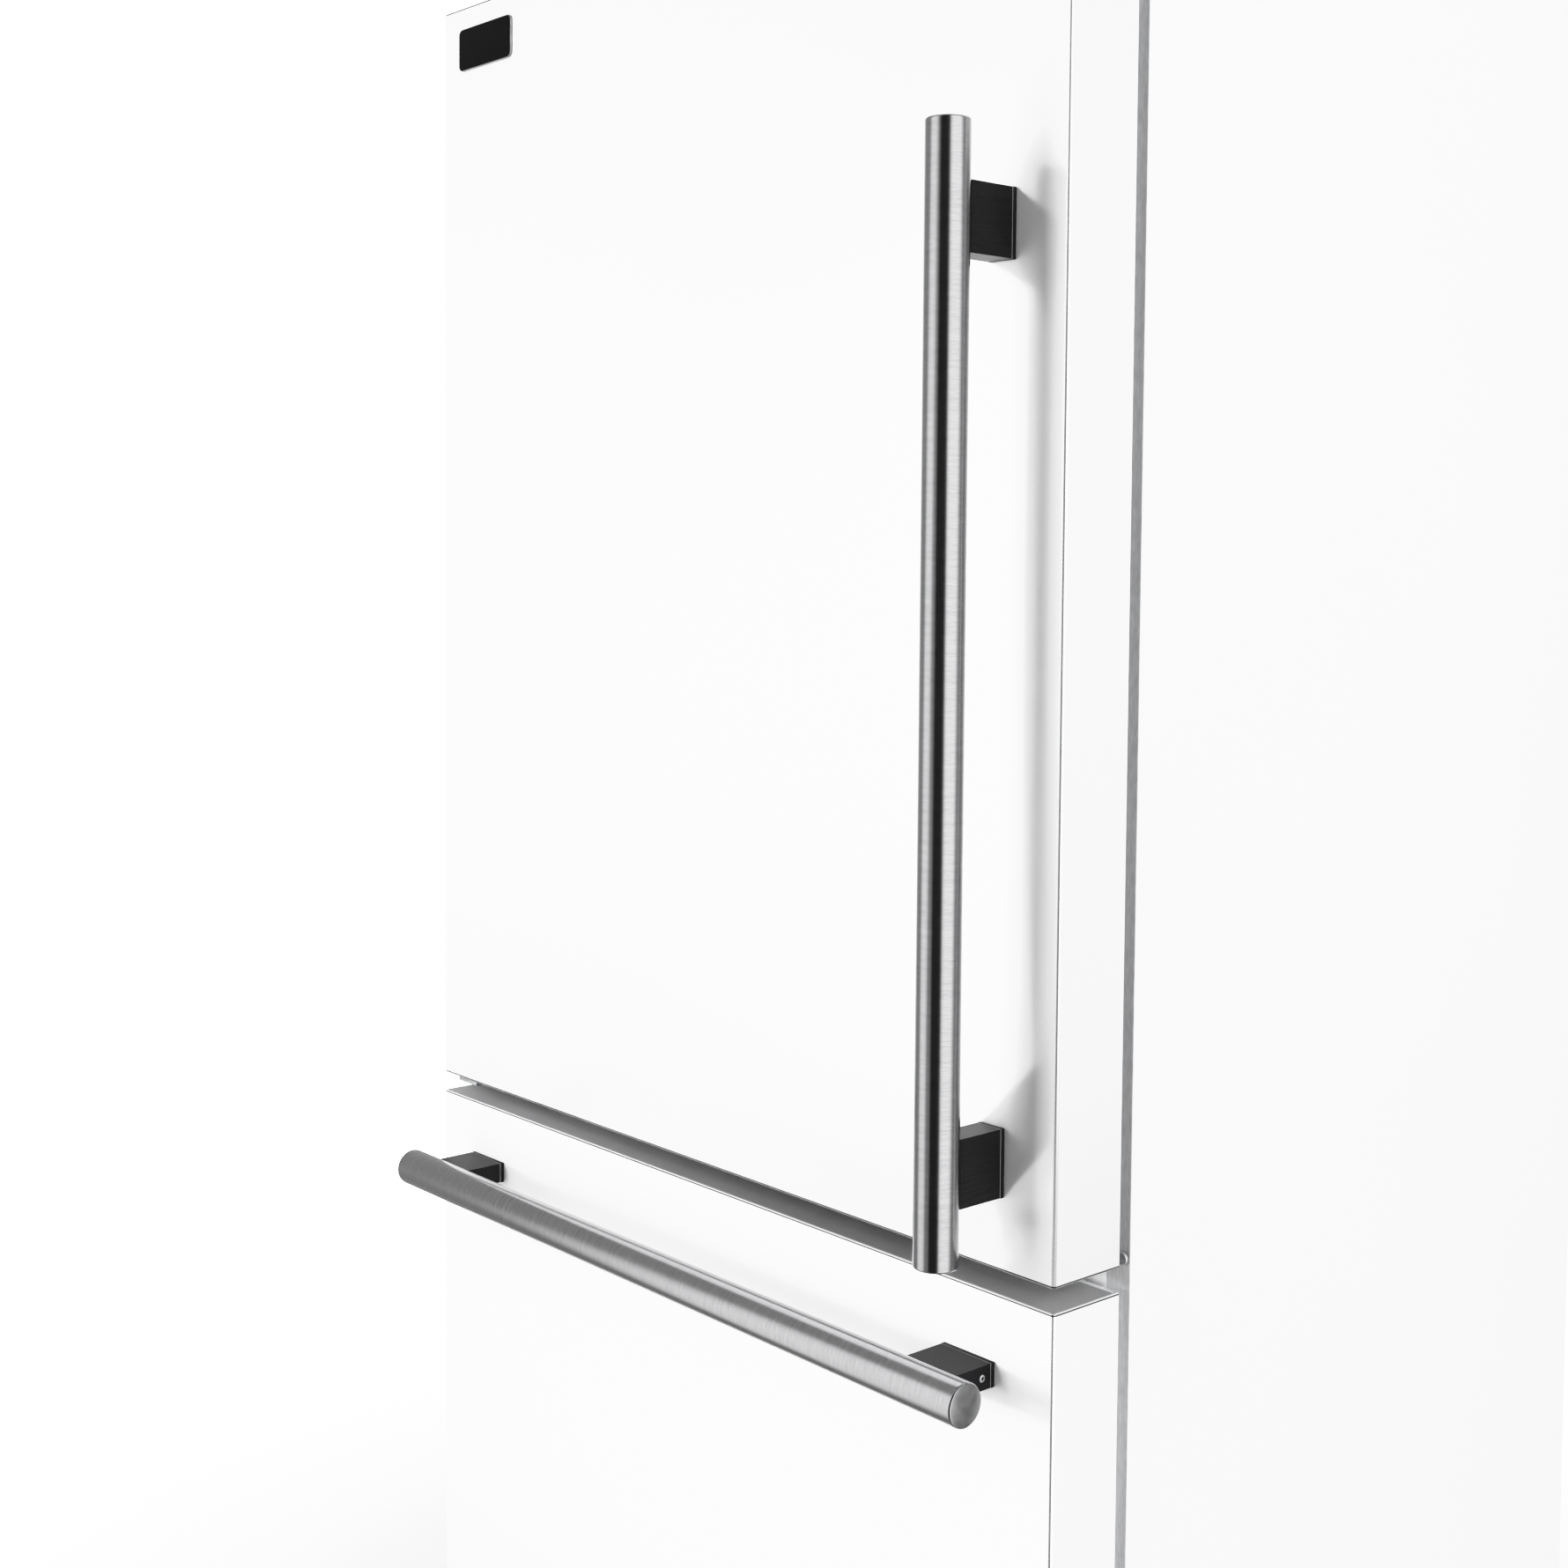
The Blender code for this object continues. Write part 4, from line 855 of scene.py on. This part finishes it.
def sealing_ring(node, body):
    """The gasket: a soft bellows against the panel and a flat magnet pocket towards the cabinet."""
    low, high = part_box(node)
    deep = high.y - low.y
    section = [(0.10, 0.00), (0.90, 0.00), (0.98, 0.10), (0.84, 0.22), (0.98, 0.34), (0.84, 0.46)]
    section += [(0.92, 0.56), (1.00, 0.62), (1.00, 0.94), (0.94, 1.00), (0.06, 1.00), (0.00, 0.94)]
    section += [(0.00, 0.62), (0.08, 0.56), (0.16, 0.46), (0.02, 0.34), (0.16, 0.22), (0.02, 0.10)]
    bm = bmesh.new()
    loops = []
    for across, out in section:
        step = GASKET_WIDE * across
        y = low.y + deep * out
        corners = ((low.x + step, low.z + step), (high.x - step, low.z + step))
        corners += ((high.x - step, high.z - step), (low.x + step, high.z - step))
        loops.append([bm.verts.new((x, y, z)) for x, z in corners])
    for a, b in zip(loops, loops[1:] + loops[:1]):
        for k in range(4):
            j = (k + 1) % 4
            bm.faces.new((a[k], a[j], b[j], b[k]))
    fit(link(node + "_bellows", bm, rubber, 25.0), body, "gasket_rubber", node)


def soft_rubber(place):
    fine = place.noise(700.0, 2.0)
    cloud = place.noise(10.0, 3.0)
    return {
        "Base Color": cloud.between((0.84, 0.84, 0.84), (0.92, 0.92, 0.92)),
        "Roughness": 0.52 + 0.12 * fine,
        "Normal": fine.bump(0.00004),
    }


rubber = finish("gasket_rubber", {}, soft_rubber)


def cap_plastic(place):
    speckle = place.noise(1500.0, 2.0)
    cloud = place.noise(9.0, 3.0)
    mottle = speckle * 0.6 + cloud * 0.4
    return {
        "Base Color": mottle.between((0.24, 0.24, 0.245), (0.44, 0.44, 0.445)),
        "Roughness": 0.30 + 0.16 * cloud,
        "Normal": speckle.bump(0.00004),
    }


cap_grey = finish("cap_plastic", {}, cap_plastic)
folded_skin("door_skin", "door")
rounded("door_top_cap", "door", 0.0006, cap_grey, "grey_plastic", 2)
rounded("door_bottom_cap", "door", 0.0006, cap_grey, "grey_plastic", 2)
rounded("door_liner", "door", 0.0008, liner_white, "liner_plastic", 2)
rounded("door_liner_dyke", "door", 0.0040, liner_white, "liner_plastic", 4)
sealing_ring("door_gasket", "door")


# The bins hook into the door's liner. Each is a clear moulding, and the top one, for butter and
# cheese, has a lid that tips up on two small pins.
for node in ("dairy_bin", "middle_bin", "bottle_bin"):
    rounded(node, "door", 0.0013, styrene, "clear_plastic")
rounded("dairy_lid", "dairy_lid", 0.0007, styrene, "clear_plastic")


# The badge is a small black plate with a dark metal rim, glued to the door near its top left corner.
# It is blank.
def badge_face(place):
    fine = place.noise(900.0, 2.0)
    return {
        "Base Color": place.noise(60.0, 3.0).between((0.001, 0.001, 0.001), (0.004, 0.004, 0.004)),
        "Roughness": 0.42 + 0.12 * fine,
    }


badge_black = finish("badge_black", {"Specular IOR Level": 0.12}, badge_face)


def dark_rim(place):
    lines = place.noise(900.0, 1.0, (1.0, 1.0, 0.1))
    return {
        "Base Color": lines.between((0.16, 0.16, 0.165), (0.34, 0.34, 0.345)),
        "Roughness": 0.20 + 0.20 * lines,
    }


rim_steel = finish("badge_rim", {"Metallic": 0.9}, dark_rim)
BADGE_CORNER = 0.006
BEND_STEPS = 8


def round_rect(low, high, inset):
    """A rectangle with round corners in X and Z, drawn inset from its box."""
    line = []
    bend = max(BADGE_CORNER - inset, 0.0004)
    corners = ((1, 1, 0.0), (-1, 1, 0.5), (-1, -1, 1.0), (1, -1, 1.5))
    for across, up, start in corners:
        x = (low.x + high.x) / 2 + across * ((high.x - low.x) / 2 - inset - bend)
        z = (low.z + high.z) / 2 + up * ((high.z - low.z) / 2 - inset - bend)
        for k in range(BEND_STEPS + 1):
            angle = math.pi * (start + k / BEND_STEPS / 2)
            line.append((x + bend * math.cos(angle), z + bend * math.sin(angle)))
    return line


def stacked(bm, low, high, levels):
    """Skins round rectangles of growing inset, given as (inset, y), and closes the end ones."""
    loops = []
    for inset, y in levels:
        loops.append([bm.verts.new((x, y, z)) for x, z in round_rect(low, high, inset)])
    for a, b in zip(loops, loops[1:]):
        for k in range(len(a)):
            j = (k + 1) % len(a)
            bm.faces.new((a[k], a[j], b[j], b[k]))
    bm.faces.new(loops[0])
    bm.faces.new(loops[-1])


badge_low, badge_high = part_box("badge_plate")
bm = bmesh.new()
levels = [(0.0, badge_high.y), (0.0, badge_low.y + 0.0006), (0.0003, badge_low.y + 0.0001)]
levels += [(0.0005, badge_low.y), (0.0007, badge_low.y + 0.0003)]
stacked(bm, badge_low, badge_high, levels)
fit(link("badge_rim", bm, rim_steel, 40.0), "door", "black_enamel", "badge_plate")
bm = bmesh.new()
levels = [(0.0008, badge_high.y), (0.0008, badge_low.y + 0.0003), (0.0012, badge_low.y + 0.0002)]
stacked(bm, badge_low, badge_high, levels)
fit(link("badge_face", bm, badge_black, 40.0), "door", "black_enamel")


# Each handle is a solid stainless bar, brushed round its girth, on two flat blackened steel posts
# with saddles cut for it. A post ends in a thin foot plate over a stud in the panel, and a hexagon
# set screw locks it: under the door's lower post, and in the side of the drawer's right one.
def brushed_round(axis):
    """Stainless steel with fine brush lines that run round a bar along the given axis."""
    stretch = tuple(1.0 if i == axis else 0.05 for i in range(3))

    def vary(place):
        lines = place.noise(2600.0, 3.0, stretch)
        bands = place.noise(300.0, 2.0, stretch)
        streaks = lines * 0.7 + bands * 0.3
        return {
            "Base Color": streaks.between((0.26, 0.26, 0.265), (0.50, 0.50, 0.505)),
            "Roughness": 0.15 + 0.10 * lines,
            "Normal": (lines + bands * 0.4).bump(0.000012),
        }

    return vary


def brushed_black(axis):
    """Blackened steel with brush lines along the given axis."""
    stretch = tuple(0.03 if i == axis else 1.0 for i in range(3))

    def vary(place):
        lines = place.noise(1500.0, 3.0, stretch)
        cloud = place.noise(40.0, 3.0)
        streaks = lines * 0.8 + cloud * 0.2
        return {
            "Base Color": streaks.between((0.006, 0.006, 0.007), (0.046, 0.046, 0.048)),
            "Roughness": 0.34 + 0.15 * lines,
            "Normal": lines.bump(0.000012),
        }

    return vary


upright_steel = finish("brushed_steel_upright", {"Metallic": 1.0}, brushed_round(2))
level_steel = finish("brushed_steel_level", {"Metallic": 1.0}, brushed_round(0))
black_steel = finish("blackened_steel", {"Metallic": 0.75}, brushed_black(1))
black_level = finish("blackened_steel_level", {"Metallic": 0.75}, brushed_black(0))
BAR_EASE = 0.0018
FOOT_PLATE = 0.0036
FOOT_LINE = 0.0005
FOOT_LIP = 0.0003
LINE_LAP = 0.0001
SADDLE = 0.0170
SADDLE_REACH = 0.1
POST_EASE = 0.0009
SET_SCREW = 0.0031


def hexagon(angle):
    """The shape of a hexagon drive."""
    return math.cos(math.pi / 6) / math.cos((angle % (math.pi / 3)) - math.pi / 6)


def handle_bar(node, body, axis, material):
    """The round bar, its ends turned flat with an eased rim."""
    low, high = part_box(node)
    middle = (low + high) / 2
    half = (high[axis] - low[axis]) / 2
    radius = (high.y - low.y) / 2
    rings = [(radius - BAR_EASE, -half, 0.0)]
    rings += [(radius - BAR_EASE * 0.4, -half + BAR_EASE * 0.15, 0.0)]
    rings += [(radius - BAR_EASE * 0.1, -half + BAR_EASE * 0.5, 0.0)]
    rings += [(radius, -half + BAR_EASE, 0.0)]
    rings += [(reach, -height, none) for reach, height, none in reversed(rings)]
    way = tuple(1 if i == axis else 0 for i in range(3))
    bm = bmesh.new()
    lathe(bm, rings, facing(middle, way), 128)
    fit(link(node + "_turned", bm, material, 32.0), body, "brushed_steel", node)


def handle_post(node, bar, body, bar_axis, material):
    """The flat post with its saddle cut for the bar, its foot plate and the line between them."""
    low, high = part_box(node)
    bar_low, bar_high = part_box(bar)
    bm = bmesh.new()
    block(bm, low, (high.x, high.y - FOOT_PLATE - FOOT_LINE, high.z), 0.0)
    post = link(node + "_post", bm, material, 180.0)
    bm = bmesh.new()
    spot = (bar_low + bar_high) / 2
    spot[bar_axis] = (low[bar_axis] + high[bar_axis]) / 2
    way = (0, 0, 1) if bar_axis == 2 else (1, 0, 0)
    saddle = [(SADDLE, -SADDLE_REACH, 0.0), (SADDLE, SADDLE_REACH, 0.0)]
    lathe(bm, saddle, facing(spot, way), 128)
    cutter = link(node + "_cutter", bm, black_steel)
    cut = post.modifiers.new("saddle", "BOOLEAN")
    cut.operation = "DIFFERENCE"
    cut.object = cutter
    graph = bpy.context.evaluated_depsgraph_get()
    shaped = bpy.data.meshes.new_from_object(post.evaluated_get(graph))
    post.modifiers.clear()
    post.data = shaped
    bpy.data.objects.remove(cutter)
    ease_edges(post, "eased edges", POST_EASE, 3)
    fit(post, body, "black_enamel", node)
    line_back = high.y - FOOT_PLATE
    line_low = (low.x, line_back - FOOT_LINE - LINE_LAP, low.z)
    bm = bmesh.new()
    block(bm, line_low, (high.x, line_back + LINE_LAP, high.z), 0.00005)
    fit(link(node + "_shim", bm, zinc, 30.0), body, "brushed_steel")
    foot_high = (high.x + FOOT_LIP, high.y, high.z + FOOT_LIP)
    bm = bmesh.new()
    block(bm, (low.x - FOOT_LIP, line_back, low.z - FOOT_LIP), foot_high, 0.0004)
    fit(link(node + "_foot", bm, material, 30.0), body, "black_enamel")


handle_bar("door_handle_bar", "door", 2, upright_steel)
for word in ("upper", "lower"):
    handle_post("door_handle_post_" + word, "door_handle_bar", "door", 2, black_steel)
low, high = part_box("door_handle_post_lower")
spot = ((low.x + high.x) / 2, high.y - 0.014, low.z - 0.0003)
screws("door_handle_set_screws", [spot], (0, 0, -1), SET_SCREW, "door", hexagon)


# The drawer front is made like the door, with a shallow liner plug in place of the deep dyke, and
# carries the level handle near its top edge.
folded_skin("drawer_skin", "drawer")
rounded("drawer_top_cap", "drawer", 0.0006, cap_grey, "grey_plastic", 2)
rounded("drawer_bottom_cap", "drawer", 0.0006, cap_grey, "grey_plastic", 2)
rounded("drawer_liner", "drawer", 0.0020, liner_white, "liner_plastic")
sealing_ring("drawer_gasket", "drawer")
handle_bar("drawer_handle_bar", "drawer", 0, level_steel)
for word in ("left", "right"):
    handle_post("drawer_handle_post_" + word, "drawer_handle_bar", "drawer", 0, black_level)
low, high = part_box("drawer_handle_post_right")
spot = (high.x - 0.0010, high.y - 0.0130, (low.z + high.z) / 2)
screws("drawer_handle_set_screws", [spot], (1, 0, 0), SET_SCREW, "drawer", hexagon)


# The drawer runs on three-part zinc-plated slides. The inner parts are joined by a carriage that
# carries the deep basket below and the shallow sliding tray above.
for side in ("left", "right"):
    rounded("outer_slide_" + side, "cabinet", 0.0004, zinc, "zinc_plated_steel", 2)
    rounded("middle_slide_" + side, "middle_slide_" + side, 0.0004, zinc, "zinc_plated_steel", 2)
rounded("drawer_slide_frame", "drawer", 0.0006, zinc, "zinc_plated_steel", 2)
rounded("freezer_basket", "drawer", 0.0014, styrene, "clear_plastic")
rounded("freezer_tray", "freezer_tray", 0.0012, styrene, "clear_plastic")


# The studio has a pale paper floor that fades into a white backdrop, and three soft lights: a tall
# one on the left, a wide one on the right and one behind. In the steel are mirrored the room, the
# two front lights and the dark side where the camera stands.
FLOOR_FADE = (0.70, 1.35)
FLOOR_REACH = 9.0


def pale_paper(place):
    grain = place.noise(60.0, 3.0)
    away = place.node("ShaderNodeVectorMath", {"operation": "LENGTH"}, {0: place}, "Value")
    return {
        "Base Color": grain.between((0.93, 0.93, 0.93), (0.95, 0.95, 0.95)),
        "Roughness": 0.75 + 0.1 * grain,
        "Alpha": 1 - away.rise(*FLOOR_FADE),
    }


bm = bmesh.new()
bmesh.ops.create_grid(bm, x_segments=8, y_segments=8, size=FLOOR_REACH)
floor = link("studio_floor", bm, finish("studio_paper", {}, pale_paper))
floor.visible_glossy = False


def softbox(name, spot, target, wide, tall, power):
    """A rectangular soft light that faces a point."""
    light = bpy.data.lights.new(name, "AREA")
    light.shape = "RECTANGLE"
    light.size = wide
    light.size_y = tall
    light.energy = power
    lamp = bpy.data.objects.new(name, light)
    bpy.context.collection.objects.link(lamp)
    lamp.location = spot
    aim = Vector(target) - Vector(spot)
    lamp.rotation_euler = aim.to_track_quat("-Z", "Y").to_euler()
    lamp.visible_camera = False
    lamp.visible_glossy = False


softbox("left_softbox", (-1.02, -2.40, 1.15), (0.35, -0.42, 1.15), wide=1.3, tall=3.6, power=150.0)
softbox("right_softbox", (3.0, -0.1, 1.6), (0.4, 0.0, 1.1), wide=2.6, tall=2.8, power=125.0)
softbox("back_softbox", (-1.7, 2.6, 1.7), (-0.2, 0.4, 0.9), wide=2.2, tall=2.6, power=60.0)

world = bpy.data.worlds.new("studio")
bpy.context.scene.world = world
world.use_nodes = True
sky = world.node_tree
way = Field(sky.nodes.new("ShaderNodeTexCoord").outputs["Generated"])
bearing = way.math("ARCTAN2", way.part("Y"), way.part("X"))
climb = way.node("ShaderNodeMath", {"operation": "ARCSINE"}, {0: way.part("Z")})


def between_angles(angle, low, high, soft):
    """1 where an angle lies between two others in degrees, with soft edges."""
    start, end, edge = (math.radians(value) for value in (low, high, soft))
    return angle.rise(start - edge, start + edge) * (1 - angle.rise(end - edge, end + edge))


# Each part of the room lies between two bearings and two climbs, with soft edges, all in degrees.
LEFT_BEARING, LEFT_CLIMB = (-142, -103, 9), (-45, 42, 12)
RIGHT_BEARING, RIGHT_CLIMB = (-32, 30, 12), (-45, 50, 12)
DARK_BEARING, DARK_CLIMB = (-84, -34, 4), (-60, 60, 15)
ROOM = 0.40
ROOM_RISE = 0.14
LEFT_GLOW = 1.15
RIGHT_GLOW = 1.45
DARKNESS = 0.98
LEAN = 0.27
room = ROOM + ROOM_RISE * climb.rise(math.radians(-40), math.radians(-5))
leaning = bearing - climb * LEAN
left_box = between_angles(leaning, *LEFT_BEARING) * between_angles(climb, *LEFT_CLIMB)
right_box = between_angles(bearing, *RIGHT_BEARING) * between_angles(climb, *RIGHT_CLIMB)
dark_side = between_angles(bearing, *DARK_BEARING) * between_angles(climb, *DARK_CLIMB)
lit = room + LEFT_GLOW * left_box + RIGHT_GLOW * right_box
mirrored = lit * (1 - DARKNESS * dark_side)

# The backdrop is far brighter than the fill that it gives the pieces, so the level goes by the ray:
# what the camera sees, what a glossy surface mirrors, and what a matt one is lit by.
BACKDROP = 3.0
FILL = 0.16
ray = sky.nodes.new("ShaderNodeLightPath")
glossy = Field(ray.outputs["Is Glossy Ray"])
ambient = Field(ray.outputs["Is Diffuse Ray"])
level = BACKDROP + glossy * (mirrored - BACKDROP) - ambient * (BACKDROP - FILL)
background = sky.nodes["Background"]
sky.links.new(level.socket, background.inputs["Strength"])
background.inputs["Color"].default_value = (1.0, 1.0, 1.0, 1.0)

# The tone curve deepens the darks and holds back the whites, so that the white door's edges still
# show against the white backdrop. Each pair is a level in the scene and the level shown for it.
TONES = ((0.05, 0.022), (0.20, 0.150), (0.45, 0.430), (0.75, 0.75), (1.10, 0.93), (1.60, 0.975))
scene = bpy.context.scene
scene.view_settings.view_transform = "Standard"
scene.view_settings.use_curve_mapping = True
tones = scene.view_settings.curve_mapping
tones.white_level = (BACKDROP, BACKDROP, BACKDROP)
combined = tones.curves[3]
for level_in, level_out in TONES:
    combined.points.new(level_in / BACKDROP, level_out)
for knot in combined.points:
    knot.handle_type = "VECTOR"
tones.update()


# The camera stands at the right front, as high as the door's middle. It is tipped slightly down, and
# its lens is shifted down as well.
CAMERA_SPOT = (1.3933, -1.4478, 1.2105)
FOCAL_LENGTH = 47.53
SENSOR = 36.0
LENS_SHIFT = -0.0791
yaw, pitch, roll = (math.radians(angle) for angle in (48.983, 2.792, 0.435))
ahead = Vector((-math.sin(yaw) * math.cos(pitch), math.cos(yaw) * math.cos(pitch), -math.sin(pitch)))
right = Vector((math.cos(yaw), math.sin(yaw), 0.0))
up = right.cross(ahead)
across = right * math.cos(roll) + up * math.sin(roll)
upright = up * math.cos(roll) - right * math.sin(roll)
lens = bpy.data.cameras.new("studio_camera")
lens.sensor_width = SENSOR
lens.lens = FOCAL_LENGTH
lens.shift_y = LENS_SHIFT
camera = bpy.data.objects.new("studio_camera", lens)
bpy.context.collection.objects.link(camera)
turn = Matrix((across, upright, -ahead)).transposed().to_4x4()
camera.matrix_world = Matrix.Translation(CAMERA_SPOT) @ turn
scene.camera = camera
